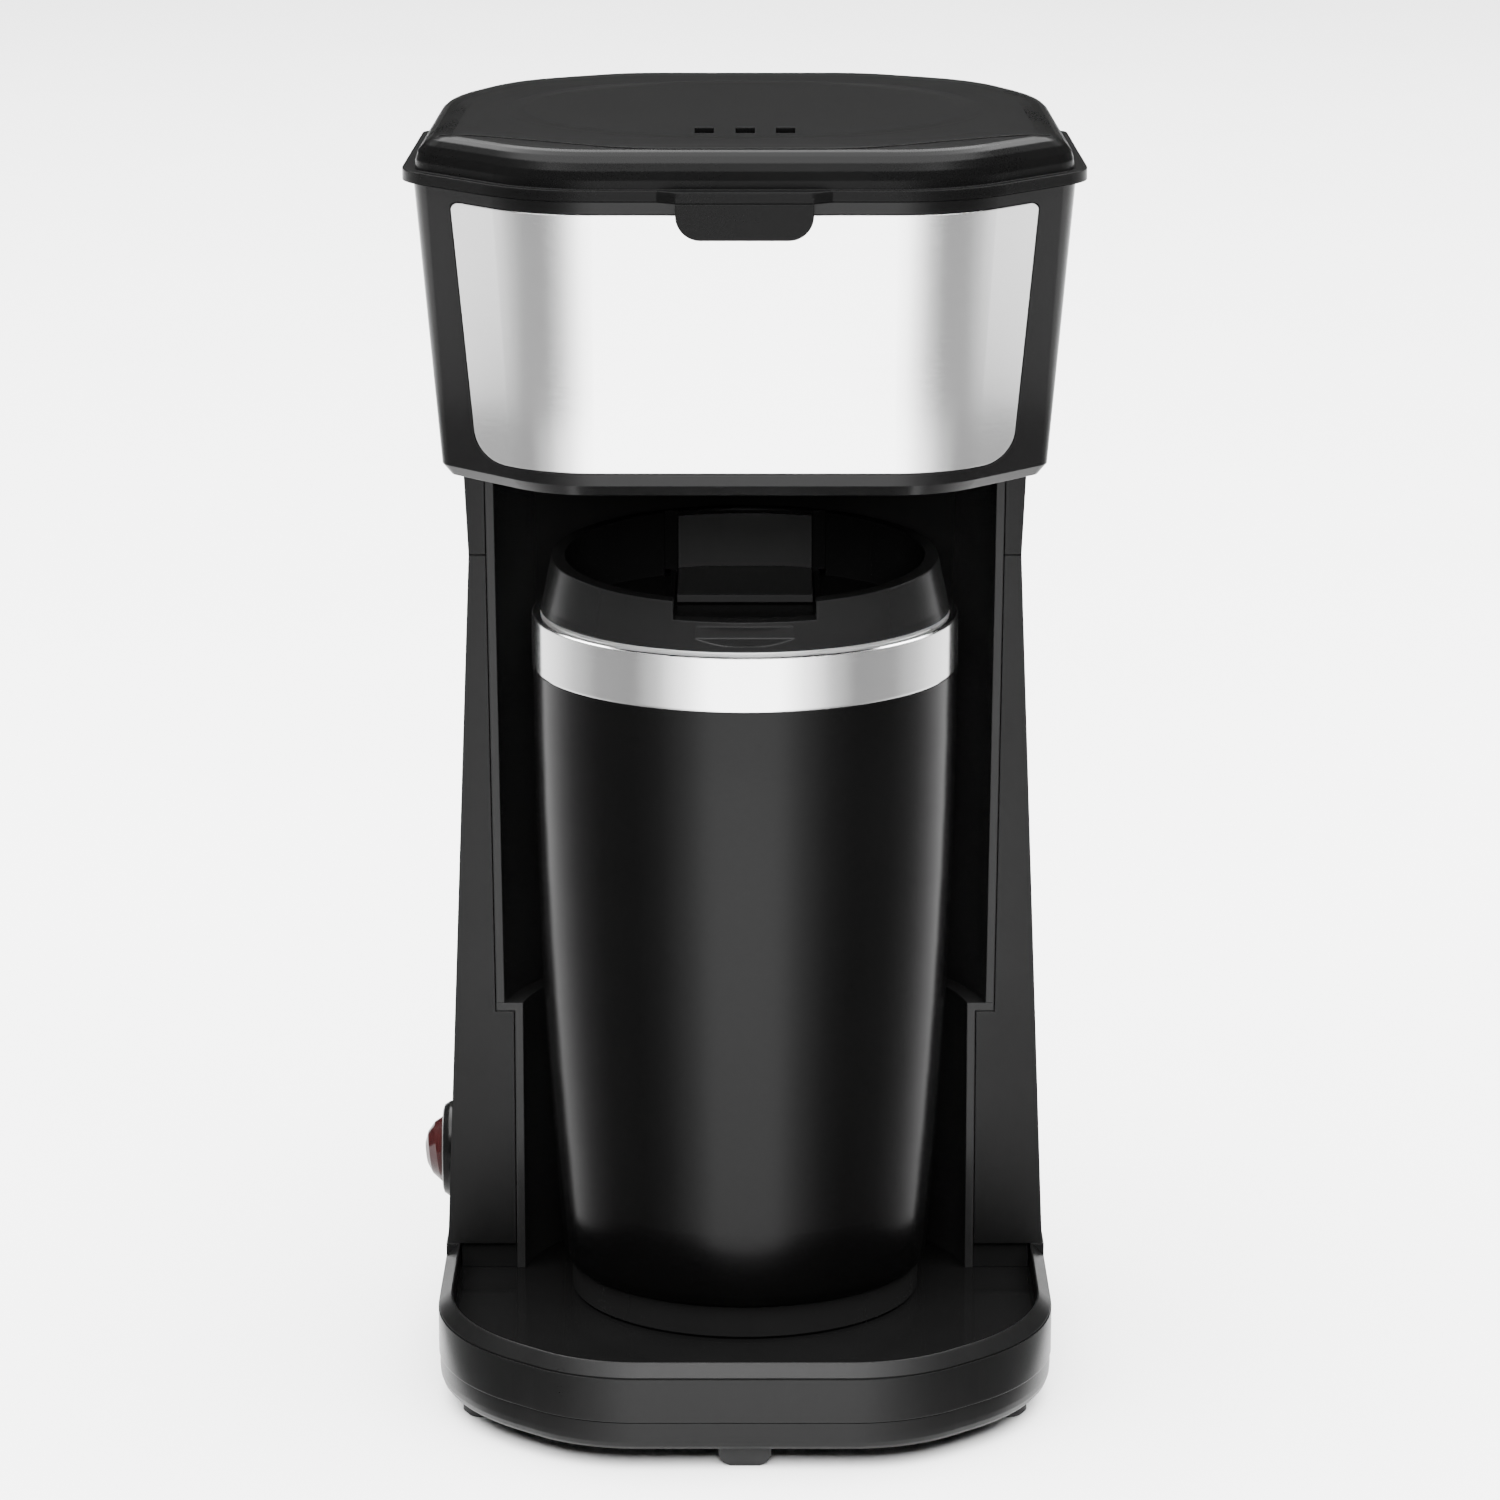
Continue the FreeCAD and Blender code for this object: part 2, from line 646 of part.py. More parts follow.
def head_shell():
    body = new_body("HeadShell")
    wall = value("shell_wall")
    loft(body, "neck_outside", [(column_head_plan(), "column_top"), (neck_top_plan(), "head_edge")])
    loft(body, "head_outside", [
        (head_bottom_plan(), "head_bottom"), (head_edge_plan(), "head_edge"), (head_top_plan(), "head_top"),
    ])
    floor = value("head_edge") + 0.6
    loft(body, "head_inside", [
        (head_plan(floor, wall), "head_edge + 0.6"), (head_plan(value("head_top") + 1, wall), "head_top + 1"),
    ], cut=True)
    loft(body, "neck_inside", [
        (column_head_plan(wall, wall), "column_top - 0.01"), (neck_top_plan(wall, wall), "head_bottom"),
    ], cut=True)
    cone_bay(body, "neck_bay", "column_top - 1", "head_bottom", 0.2)
    nozzle = ("0", "mug_axis_y", "head_bottom - 1")
    drum(body, "nozzle_hole", nozzle, "nozzle_radius + 0.3", "6", cut=True)
    drum(body, "riser_opening", ("riser_x", "riser_y", "head_bottom - 1"), "hose_radius + 1", "6", cut=True)
    prism(body, "tank_opening", tank_neck_plan(-1.0, -1.0), "head_bottom - 1", "4.5", cut=True)
    for name, low_x, high_x in (("bracket_middle", "-13.5", "13.5"), ("bracket_right", "20.5", "26"),
                                ("bracket_left", "-26", "-20.5")):
        start = (low_x, "hinge_y", "hinge_z")
        block(body, name + "_web", (low_x, "lid_back - 3.4", "hinge_z - 9"),
              (high_x, "hinge_y", "hinge_z - 1.8"))
        drum(body, name + "_knuckle", start, "knuckle_radius", f"{high_x} - ({low_x})", axis="x")
    bore = ("-30", "hinge_y", "hinge_z")
    drum(body, "bracket_bore", bore, "pin_radius + pin_clearance", "60", axis="x", cut=True)
    seat = panel_piece("seat", 0.05, -1.0, 0.15)
    shell = doc.addObject("Part::Cut", "HeadShellSeated")
    shell.Base, shell.Tool = body, seat
    return kept(shell, "head_shell")


def panel_piece(name, under, over, growth):
    """Front skin of the head inside the panel's outline, between two depths from the head's surface."""
    ring = new_body(name.title() + "Ring")
    low, high = value("head_edge"), value("head_top")
    loft(ring, name + "_outside", [(head_plan(low, over), "head_edge"), (head_plan(high, over), "head_top")])
    depth = value("panel_skin") + under
    loft(ring, name + "_inside", [
        (head_plan(low - 1, depth), "head_edge - 1"), (head_plan(high + 1, depth), "head_top + 1"),
    ], cut=True)
    window = new_body(name.title() + "Window")
    sketch = new_sketch(window, name + "_view", role="XZ_Plane", height="40")
    low_corner = (value("panel_low_half_width") + growth, value("panel_bottom") - growth, 6.5)
    high_corner = (value("panel_top_half_width") + growth, value("panel_top") + growth, 1.6)
    joined(sketch, outline_geometry([low_corner, high_corner]))
    pad = window.newObject("PartDesign::Pad", name + "_depth")
    pad.Profile = sketch
    pad.Length = 50
    piece = doc.addObject("Part::Common", name.title() + "Piece")
    piece.Base, piece.Tool = ring, window
    return piece


def top_deck():
    """Deck around the basket's well, with the filling mouth of the tank behind it."""
    body = new_body("TopDeck")
    plan = head_plan(value("deck_bottom"), value("shell_wall") + 0.4)
    prism(body, "deck_plate", plan, "deck_bottom", "deck_thickness")
    well = ("0", "mug_axis_y", "deck_bottom - 1")
    drum(body, "basket_well", well, "funnel_mouth_radius + funnel_wall + 0.3", "5", cut=True)
    mouth = [(34, 47, 5), (34, 62, 8)]
    prism(body, "filling_mouth", mouth, "deck_bottom - 1", "5", cut=True)
    riser = ("riser_x", "riser_y", "deck_bottom - 1")
    drum(body, "riser_hole", riser, "hose_radius + 0.4", "5", cut=True)
    return kept(body, "top_deck")


head_shell()
kept(panel_piece("panel", 0.0, -0.1, 0.0), "steel_panel")
top_deck()


# ---------------------------------------------------------------------------------------------
# Brewing group: funnel, filter basket and its mesh
# ---------------------------------------------------------------------------------------------
def brew_funnel():
    body = new_body("BrewFunnel")
    turned(body, "funnel_turn", [
        ("5.4", "nozzle_bottom"), ("nozzle_radius - 1", "nozzle_bottom"),
        ("nozzle_radius", "nozzle_bottom + 1.2"), ("nozzle_radius", "head_edge + 1"),
        ("21.6", "head_edge + 6.4"), ("funnel_mouth_radius + funnel_wall", "deck_bottom - 1.8"),
        ("funnel_mouth_radius + 5", "deck_bottom - 1.8"), ("funnel_mouth_radius + 5", "deck_bottom"),
        ("funnel_mouth_radius", "deck_bottom"), ("20", "head_edge + 7.6"),
        ("5.4", "head_edge + 4.4"),
    ])
    place(body, "0", "mug_axis_y")
    return kept(body, "brew_funnel")


def filter_basket():
    body = new_body("FilterBasket")
    turned(body, "basket_turn", [
        ("0", "basket_floor"), ("basket_floor_radius", "basket_floor"),
        ("basket_mouth_radius", "basket_rim_bottom"), ("basket_rim_radius", "basket_rim_bottom"),
        ("basket_rim_radius", "basket_rim_bottom + 1.6"),
        ("basket_mouth_radius - 1.5", "basket_rim_bottom + 1.6"),
        ("basket_floor_radius - 1.2", "basket_floor + 1.4"), ("0", "basket_floor + 1.4"),
    ])
    doc.recompute()
    window = block(body, "basket_window", ("12", "-5", "basket_floor + 6"),
                   ("50", "5", "basket_rim_bottom - 8"), cut=True)
    polar(body, window, 6)
    drilled(body, "drain_hole", [("0", "0", "3")], "basket_floor - 1", "4")
    tab = block(body, "finger_tab", ("basket_mouth_radius + 2", "-7", "basket_rim_bottom + 1"),
                ("basket_rim_radius", "7", "basket_rim_bottom + 6.5"))
    polar(body, tab, 2)
    place(body, "0", "mug_axis_y")
    return kept(body, "filter_basket")


def filter_mesh():
    """Fine mesh cone, one thin solid, inside the basket's windows."""
    body = new_body("FilterMesh")
    turned(body, "mesh_turn", [
        ("0", "basket_floor + 1.5"), ("basket_floor_radius - 1.5", "basket_floor + 1.5"),
        ("basket_mouth_radius - 3.2", "basket_rim_bottom - 1"),
        ("basket_mouth_radius - 3.7", "basket_rim_bottom - 1"),
        ("basket_floor_radius - 1.9", "basket_floor + 2"), ("0", "basket_floor + 2"),
    ])
    place(body, "0", "mug_axis_y")
    return kept(body, "filter_mesh")


brew_funnel()
filter_basket()
filter_mesh()


# ---------------------------------------------------------------------------------------------
# Water side: tank, check valve, hoses, heater and spout
# ---------------------------------------------------------------------------------------------
def tank_plan(inward=0.0, front=0.0):
    return behind(head_plan(value("tank_floor"), value("shell_wall") + 0.9 + inward), front)


def water_tank():
    """Open tank around the back of the brewing group, with a deep neck behind the mug bay."""
    body = new_body("WaterTank")
    wall = value("tank_wall")
    prism(body, "tank_outside", tank_plan(), "tank_floor", "tank_top - tank_floor")
    prism(body, "tank_neck", tank_neck_plan(), "tank_bottom", "tank_floor - tank_bottom + 1")
    prism(body, "tank_inside", tank_plan(wall, wall), "tank_floor + tank_wall",
          "tank_top - tank_floor", cut=True)
    prism(body, "tank_neck_inside", tank_neck_plan(wall, wall), "tank_bottom + tank_wall",
          "tank_floor - tank_bottom + 1", cut=True)
    well = ("0", "mug_axis_y", "tank_floor")
    drum(body, "well_wall", well, "tank_well_radius + tank_wall", "tank_top - tank_floor")
    drum(body, "well", ("0", "mug_axis_y", "tank_floor - 1"), "tank_well_radius", "tank_top - tank_floor + 2",
         cut=True)
    block(body, "tank_front", ("-80", "-80", "tank_floor - 1"), ("80", "0.4", "tank_top + 1"), cut=True)
    drum(body, "riser_sleeve", ("riser_x", "riser_y", "tank_floor"), "hose_radius + 3",
         "tank_top - tank_floor")
    riser = ("riser_x", "riser_y", "tank_floor - 1")
    drum(body, "riser_way", riser, "hose_radius + 1.2", "tank_top - tank_floor + 2", cut=True)
    drum(body, "outlet_spigot", ("hose_x", "heater_y", "tank_bottom - 7"), "4", "8")
    drum(body, "outlet_bore", ("hose_x", "heater_y", "tank_bottom - 8"), "2.4", "12", cut=True)
    return kept(body, "water_tank")


def check_valve():
    """Inline valve under the tank; its collar goes round the tank's spigot."""
    body = new_body("CheckValve")
    turned(body, "valve_turn", [
        ("2.2", "-22"), ("hose_radius", "-22"), ("5.6", "-19"), ("5.6", "0"), ("4.05", "0"),
        ("4.05", "-7.2"), ("2.2", "-7.2"),
    ])
    place(body, "hose_x", "heater_y", "tank_bottom")
    return kept(body, "check_valve")


def hose_path(points, bend):
    """Straight runs joined by tangent arcs."""
    corners = [Vector(*[value(number) for number in point]) for point in points]
    edges = []
    start = corners[0]
    for before, here, after in zip(corners, corners[1:], corners[2:]):
        way_in = (here - before).normalize()
        way_out = (after - here).normalize()
        reach = bend * math.tan(way_in.getAngle(way_out) / 2)
        touch_in = here - way_in * reach
        touch_out = here + way_out * reach
        inward = (way_out - way_in).normalize()
        middle = here + inward * (math.hypot(reach, bend) - bend)
        edges.append(Part.makeLine(start, touch_in))
        edges.append(Part.Arc(touch_in, middle, touch_out).toShape())
        start = touch_out
    edges.append(Part.makeLine(start, corners[-1]))
    return Part.Wire(edges)


def hose(label, points, bend):
    """A silicone hose along a bent route, with its bore."""
    route = hose_path(points, value(bend))
    first, second = (Vector(*[value(number) for number in point]) for point in points[:2])
    tubes = []
    for radius in (value("hose_radius"), value("hose_radius - 1.2")):
        ring = Part.Wire(Part.makeCircle(radius, first, second - first))
        tubes.append(route.makePipeShell([ring], True, False))
    piece = doc.addObject("Part::Feature", label.title().replace("_", ""))
    piece.Shape = tubes[0].cut(tubes[1])
    return kept(piece, label)


def heater_block():
    """Cast block: a water tube below, a heating tube above and a web between them."""
    body = new_body("HeaterBlock")
    start = "-heater_half_length"
    length = "2 * heater_half_length"
    drum(body, "water_tube", (start, "heater_y", "heater_z"), "5", length, axis="x")
    drum(body, "element_tube", (start, "heater_y", "heater_z + 12"), "5.2", length, axis="x")
    block(body, "web", (start, "heater_y - 2.5", "heater_z"), ("heater_half_length", "heater_y + 2.5",
                                                               "heater_z + 12"))
    drum(body, "water_bore", ("-heater_half_length - 1", "heater_y", "heater_z"), "2.6",
         "2 * heater_half_length + 2", axis="x", cut=True)
    drum(body, "element_bore", ("-heater_half_length - 1", "heater_y", "heater_z + 12"), "3.35",
         "2 * heater_half_length + 2", axis="x", cut=True)
    return kept(body, "heater_block")


def rod(label, pieces):
    """Round pieces fused into one: (start, radius, length, axis) each."""
    body = new_body(label.title().replace("_", ""))
    for number, (start, radius, length, axis) in enumerate(pieces):
        drum(body, f"{label}_{number}", start, radius, length, axis=axis)
    return kept(body, label)


def group(label, pieces):
    whole = doc.addObject("Part::Compound", label.title().replace("_", ""))
    whole.Links = pieces
    return kept(whole, label)


def box_piece(name, low, high):
    piece = doc.addObject("Part::Box", name)
    for side, a, b in zip(("Length", "Width", "Height"), low, high):
        bind(piece, **{side: f"({b}) - ({a})"})
    place(piece, *low)
    return piece


def heater_brackets():
    legs = []
    for side, low, high in (("left", "-20", "-15"), ("right", "15", "20")):
        legs.append(box_piece(f"bracket_{side}", (low, "heater_y - 4", "tray_floor"),
                              (high, "heater_y + 4", "heater_z - 5")))
    return group("heater_brackets", legs)


def outlet_spout():
    """Elbow on the deck that carries hot water from the riser towards the shower plate."""
    body = new_body("OutletSpout")
    base = ("riser_x", "riser_y", "deck_bottom + deck_thickness")
    drum(body, "spout_flange", base, "6", "1.2")
    drum(body, "spout_post", base, "4", "6")
    arm = body.newObject("PartDesign::AdditiveCylinder", "spout_arm")
    bind(arm, Radius="2.2", Height="13")
    away = Vector(-value("riser_x"), value("mug_axis_y - riser_y"), 0)
    arm.Placement = FreeCAD.Placement(Vector(0, 0, 0), FreeCAD.Rotation(Vector(0, 0, 1), away))
    place(arm, "riser_x", "riser_y", "deck_bottom + deck_thickness + 3.2")
    return kept(body, "outlet_spout")


water_tank()
check_valve()
hose("cold_hose", [("hose_x", "heater_y", "tank_bottom - 22"), ("hose_x", "heater_y", "heater_z"),
                   ("heater_half_length", "heater_y", "heater_z")], "hose_bend")
hose("riser_hose", [("-heater_half_length", "heater_y", "heater_z"), ("-hose_x", "heater_y", "heater_z"),
                    ("-hose_x", "heater_y", "heater_z + 30"), ("riser_x", "riser_y", "heater_z + 62"),
                    ("riser_x", "riser_y", "deck_bottom + deck_thickness")], "hose_bend")
heater_block()
rod("heating_element", [
    (("-heater_half_length - 3", "heater_y", "heater_z + 12"), "3.3", "2 * heater_half_length + 6", "x"),
    (("-heater_half_length - 5.5", "heater_y", "heater_z + 12"), "1.2", "2 * heater_half_length + 11", "x"),
])
heater_brackets()
rod("thermostat", [
    (("0", "heater_y - 2.5 - 3", "heater_z + 5.9"), "1.3", "3", "y"),
    (("0", "heater_y - 10.5", "heater_z + 5.9"), "7.5", "5", "y"),
])
rod("thermal_fuse", [(("-7", "heater_y", "heater_z + 19.2"), "2", "14", "x")])
outlet_spout()


# ---------------------------------------------------------------------------------------------
# Lid, its shower plate and its hinge pin
# ---------------------------------------------------------------------------------------------
def ahead(outline, back_y, corner_radius=0.0):
    """The part of an outline in front of a straight rear edge, which cuts its long side."""
    (ax, ay, _), (bx, by, _) = outline[1], outline[2]
    x = ax + (bx - ax) * (back_y - ay) / (by - ay)
    return outline[:2] + [(x, back_y, corner_radius)]


def lid_ring(front, side, back):
    """Outline of the lid, moved in by its own distance at the front, sides and back."""
    return moved_in(lid_outline(), front, (front + side) / 2, side, (side + back) / 2, back, back)


def crown_groove(body):
    """Shallow valley between the padded front roll and the crown; it fades out along the sides."""
    front = value("lid_front + 4.25")
    outline = [(25, front, 40), (66.5, -47, 12), (66.5, 30, 60), (45, 45, 30), (20, 50, 30)]
    sketch = new_sketch(body, "groove_plan", height="lid_top - 1.2")
    joined(sketch, outline_geometry(outline))
    joined(sketch, outline_geometry(moved_in(outline, 1.2)))
    groove = body.newObject("PartDesign::Pocket", "groove")
    groove.Profile = sketch
    groove.Reversed = True
    groove.Length = 3


def lid():
    body = new_body("Lid")
    prism(body, "edge", lid_ring(0.6, 2.0, 2.0), "head_top", "lid_edge_top - head_top")
    prism(body, "wide_edge", ahead(lid_outline(), 5, 3), "head_top", "lid_edge_top - head_top")
    prism(body, "locating_ring", lid_ring(5.5, 5.5, 5.5), "head_top - 2.6", "3")
    # height below the top, then the distances inward at front, corner, side, flank, heel and back
    domes = [
        (7.86, (1.0, 1.8, 2.6, 2.6, 2.6, 2.6)),
        (6.0, (1.0, 1.8, 2.8, 3.4, 4.0, 4.4)),
        (4.3, (1.3, 2.1, 3.3, 6.0, 8.6, 9.6)),
        (2.7, (1.9, 2.7, 4.6, 10.5, 16.5, 18.5)),
        (1.5, (2.7, 3.4, 6.2, 15.5, 25.0, 28.0)),
        (0.8, (3.4, 4.2, 8.2, 20.5, 33.0, 37.0)),
        (0.45, (4.1, 5.0, 10.5, 25.0, 39.0, 43.5)),
        (0.2, (8.0, 8.0, 14.5, 29.0, 43.0, 48.5)),
        (0.0, (16.0, 15.0, 22.0, 34.0, 47.0, 54.0)),
    ]
    loft(body, "dome", [(moved_in(lid_outline(), *inset), f"lid_top - {drop}") for drop, inset in domes])
    crown_groove(body)
    hollow = lid_ring(7.0, 7.0, 7.0)
    rear = lid_ring(7.0, 7.0, 12.0)
    prism(body, "ring_inside", hollow, "head_top - 4", "4", cut=True)
    prism(body, "front_hollow", ahead(hollow, 5), "head_top - 0.1", "lid_roof - head_top + 0.1", cut=True)
    block(body, "middle_hollow", ("-50", "4", "head_top - 0.1"), ("50", "24", "lid_roof"), cut=True)
    prism(body, "rear_hollow", behind(rear, 4), "head_top - 0.1", "lid_roof - 2.8 - head_top + 0.1", cut=True)
    tab_root = [(13.5, value("lid_front - tab_depth"), 3), (18.5, value("lid_front + 0.8"), 0),
                (18.5, value("lid_front + 3"), 0)]
    prism(body, "tab_root", tab_root, "head_top", "lid_edge_top - head_top")
    sketch = new_sketch(body, "tab_view", role="XZ_Plane", height="-(lid_front + 1.35)")
    joined(sketch, outline_geometry([(13.5, value("tab_bottom"), 4.9), (13.5, value("head_top + 1"), 0)]))
    pad = body.newObject("PartDesign::Pad", "tab")
    pad.Profile = sketch
    bind(pad, Length="tab_depth + 1.35")
    for number, x in enumerate((-8, 0.1, 8.1)):
        low, high = (f"{x} - 1.9", "-52.4", "head_top + 3"), (f"{x} + 1.9", "-44.7", "lid_top + 2")
        block(body, f"vent_{number}", low, high, cut=True)
    for name, low_x in (("lug_right", "14"), ("lug_left", "-20")):
        block(body, name + "_arm", (low_x, "lid_back - 4.5", "head_top + 0.2"),
              (f"{low_x} + 6", "hinge_y", "hinge_z + knuckle_radius"))
        drum(body, name + "_knuckle", (low_x, "hinge_y", "hinge_z"), "knuckle_radius", "6", axis="x")
    bore = ("-30", "hinge_y", "hinge_z")
    drum(body, "lug_bore", bore, "pin_radius + pin_clearance", "60", axis="x", cut=True)
    return kept(body, "lid")


def shower_plate():
    """Plate under the lid that spreads the water, hung on three posts."""
    body = new_body("ShowerPlate")
    drum(body, "plate", ("0", "0", "head_top - 0.8"), "36", "1.4")
    post = drum(body, "post", ("28", "0", "head_top + 0.4"), "2.4", "lid_roof - head_top - 0.4")
    polar(body, post, 3)
    inner = drum(body, "inner_hole", ("11", "0", "head_top - 2"), "1.1", "5", cut=True)
    polar(body, inner, 6)
    outer = drum(body, "outer_hole", ("21", "4", "head_top - 2"), "1.1", "5", cut=True)
    polar(body, outer, 12)
    place(body, "0", "mug_axis_y")
    return kept(body, "lid_shower_plate")


lid()
shower_plate()
rod("lid_hinge_pin", [(("-26.5", "hinge_y", "hinge_z"), "pin_radius", "53", "x")])


# ---------------------------------------------------------------------------------------------
# Switch, terminals and cord inlet
# ---------------------------------------------------------------------------------------------
def facing_left(body, x, y, z, tilt=0.0):
    """Stands a turned body with its axis out of the left wall, tipped down by tilt."""
    body.Placement = FreeCAD.Placement(Vector(0, 0, 0), FreeCAD.Rotation(Vector(0, 1, 0), -90 - tilt))
    place(body, x, y, z)


def switch_bezel():
    body = new_body("SwitchBezel")
    turned(body, "bezel_turn", [
        ("8.1", "0"), ("bezel_radius", "0"), ("bezel_radius", "1.6"), ("bezel_radius - 0.8", "2.8"),
        ("bezel_radius - 1.7", "3.1"), ("8.1", "2.6"),
    ])
    facing_left(body, "-switch_seat_x", "switch_y", "switch_z")
    return kept(body, "switch_bezel")


def switch_housing():
    body = new_body("SwitchHousing")
    turned(body, "housing_turn", [
        ("0", "-12.5"), ("9", "-12.5"), ("9", "0"), ("8.1", "0"), ("8.1", "-5.5"), ("0", "-5.5"),
    ])
    facing_left(body, "-switch_seat_x", "switch_y", "switch_z")
    return kept(body, "switch_housing")


def switch_rocker():
    """Round rocker, domed outside; it tips about a line across the wall just behind its face."""
    body = new_body("SwitchRocker")
    turned(body, "rocker_turn", [
        ("0", "-2.6"), ("3", "-2.6"), ("6.2", "-0.1"), ("rocker_radius - 0.2", "0.2"),
        ("rocker_radius - 0.1", "3.2"), ("6.6", "5"), ("4.7", "6.7"), ("2.5", "7.6"), ("0", "7.8"),
    ])
    facing_left(body, "-switch_seat_x + 0.8", "switch_y", "switch_z", value("rocker_tilt"))
    return kept(body, "switch_rocker")


def cord_gland():
    body = new_body("CordGland")
    turned(body, "gland_turn", [
        ("2.8", "-7"), ("5", "-7"), ("5", "0.1"), ("7.6", "0.1"), ("7.6", "1.5"), ("6.6", "2.2"),
        ("2.8", "2.2"),
    ])
    body.Placement = FreeCAD.Placement(Vector(0, 0, 0), FreeCAD.Rotation(Vector(1, 0, 0), -90))
    place(body, "14", "lid_back - 0.5", "34")
    return kept(body, "cord_gland")


switch_bezel()
switch_housing()
switch_rocker()
group("switch_terminals", [
    box_piece("terminal_upper", ("-50.1", "switch_y - 3", "switch_z + 4"),
              ("-45", "switch_y + 3", "switch_z + 4.8")),
    box_piece("terminal_lower", ("-50.1", "switch_y - 3", "switch_z - 4.8"),
              ("-45", "switch_y + 3", "switch_z - 4")),
])
kept(box_piece("TerminalBox", ("-46", "40", "tray_floor"), ("-36", "49", "tray_floor + 11")),
     "terminal_block")
cord_gland()


# ---------------------------------------------------------------------------------------------
# Travel mug, on the mug bay's axis, heights from its own foot
# ---------------------------------------------------------------------------------------------
def mug_piece(label, profile):
    body = new_body(label.title().replace("_", ""))
    turned(body, label + "_turn", profile)
    place(body, "0", "mug_axis_y", "tray_floor")
    return body


def mug_side(inset, steps=9):
    """Side of the mug from the shoulder to the band, leaning more towards the foot."""
    places = []
    for step in range(steps + 1):
        share = step / steps
        drawn_in = (1 - share) ** 2
        places.append((
            f"mug_top_radius - {inset} - (mug_top_radius - mug_shoulder_radius) * {drawn_in:.5f}",
            f"mug_shoulder_height + (mug_band_bottom - mug_shoulder_height) * {share:.5f}",
        ))
    return places


def mug_lid():
    body = mug_piece("mug_lid", [
        ("0", "mug_lid_floor - 2"), ("mug_plug_radius - 1.8", "mug_lid_floor - 2"),
        ("mug_plug_radius - 1.8", "mug_plug_bottom"), ("mug_plug_radius", "mug_plug_bottom"),
        ("mug_plug_radius", "mug_band_top + 0.7"), ("mug_band_radius - 1.8", "mug_band_top + 0.7"),
        ("mug_band_radius - 2.2", "mug_band_top + 2.4"), ("mug_lid_rim_radius", "mug_lid_rim_height"),
        ("mug_lid_recess_radius - 0.6", "mug_lid_rim_height"),
        ("mug_lid_recess_radius - 1.6", "mug_lid_floor"), ("0", "mug_lid_floor"),
    ])
    doc.recompute()
    across_body(body, "rim_slant", [
        ("-50", "157.7"), ("50", "162.2"), ("50", "175"), ("-50", "175"),
    ], "60", cut=True)
    block(body, "front_notch", ("-14.5", "-50", "154.6"), ("14.5", "-25", "175"), cut=True)
    across_body(body, "thumb_dip", [
        ("-50", "149.9"), ("-42.2", "149.9"), ("-40.9", "151.2"), ("-40.45", "153.6"), ("-50", "153.6"),
    ], "11", cut=True)
    block(body, "groove_right", ("14.4", "28", "mug_lid_floor"), ("17.2", "35.2", "175"), cut=True)
    block(body, "groove_left", ("-17.2", "28", "mug_lid_floor"), ("-14.4", "35.2", "175"), cut=True)
    drum(body, "filling_hole", ("0", "-12", "mug_lid_floor - 5"), "5.5", "8", cut=True)
    block(body, "sip_hole", ("-6", "-28.5", "mug_lid_floor - 5"),
          ("6", "-22.5", "mug_lid_floor + 1"), cut=True)
    block(body, "rail_right", ("14.7", "-30", "mug_lid_floor - 0.5"), ("15.9", "30", "mug_lid_floor + 1.6"))
    block(body, "rail_left", ("-15.9", "-30", "mug_lid_floor - 0.5"), ("-14.7", "30", "mug_lid_floor + 1.6"))
    return kept(body, "mug_lid")


def mug_lid_slider():
    """Shutter of the drinking hole: a shoe between the rails with a curved upright grip behind."""
    body = mug_piece("mug_lid_slider", [
        ("34.2", "mug_lid_floor + 1.2"), ("36", "mug_lid_floor + 1.2"),
        ("36.6", "mug_lid_floor + slider_height"), ("35", "mug_lid_floor + slider_height"),
    ])
    for name, low, high in (("slider_front", ("-60", "-60", "100"), ("60", "20", "200")),
                            ("slider_right", ("slider_half_width", "-60", "100"), ("60", "60", "200")),
                            ("slider_left", ("-60", "-60", "100"), ("-slider_half_width", "60", "200"))):
        block(body, name, low, high, cut=True)
    block(body, "slider_shoe", ("-slider_half_width", "5", "mug_lid_floor + 0.3"),
          ("slider_half_width", "33.2", "mug_lid_floor + 1.9"))
    return kept(body, "mug_lid_slider")


kept(mug_piece("mug_foot", [
    ("28", "0"), ("mug_foot_radius - 0.6", "0"), ("mug_foot_radius", "0.6"),
    ("mug_foot_radius", "mug_foot_height"), ("mug_foot_radius - 2", "mug_foot_height"),
    ("mug_foot_radius - 2", "2.2"), ("0", "2.2"), ("0", "0.8"), ("28", "0.8"),
]), "mug_foot")
outer_side, inner_side = mug_side("0"), mug_side("mug_shell_wall")
kept(mug_piece("mug_shell", [
    ("0", "mug_foot_height"), ("mug_foot_radius", "mug_foot_height"),
    ("mug_shoulder_radius - 0.5", "mug_foot_height + 0.9"),
    *outer_side, *reversed(inner_side),
    ("mug_foot_radius - mug_shell_wall", "mug_foot_height + mug_shell_wall"),
    ("0", "mug_foot_height + mug_shell_wall"),
]), "mug_shell")
kept(mug_piece("mug_liner", [
    ("0", "10.4"), ("mug_liner_foot_radius - 1.4", "10.4"), ("mug_liner_foot_radius", "11.8"),
    ("mug_liner_radius + 0.4", "mug_band_top"), ("mug_band_radius - 1.85", "mug_band_top"),
    ("mug_band_radius - 1.85", "mug_band_top + 0.6"), ("mug_liner_radius - 0.2", "mug_band_top + 0.6"),
    ("mug_liner_foot_radius - mug_liner_wall", "12.1"),
    ("mug_liner_foot_radius - 1.4 - mug_liner_wall", "10.4 + mug_liner_wall"),
    ("0", "10.4 + mug_liner_wall"),
]), "mug_liner")
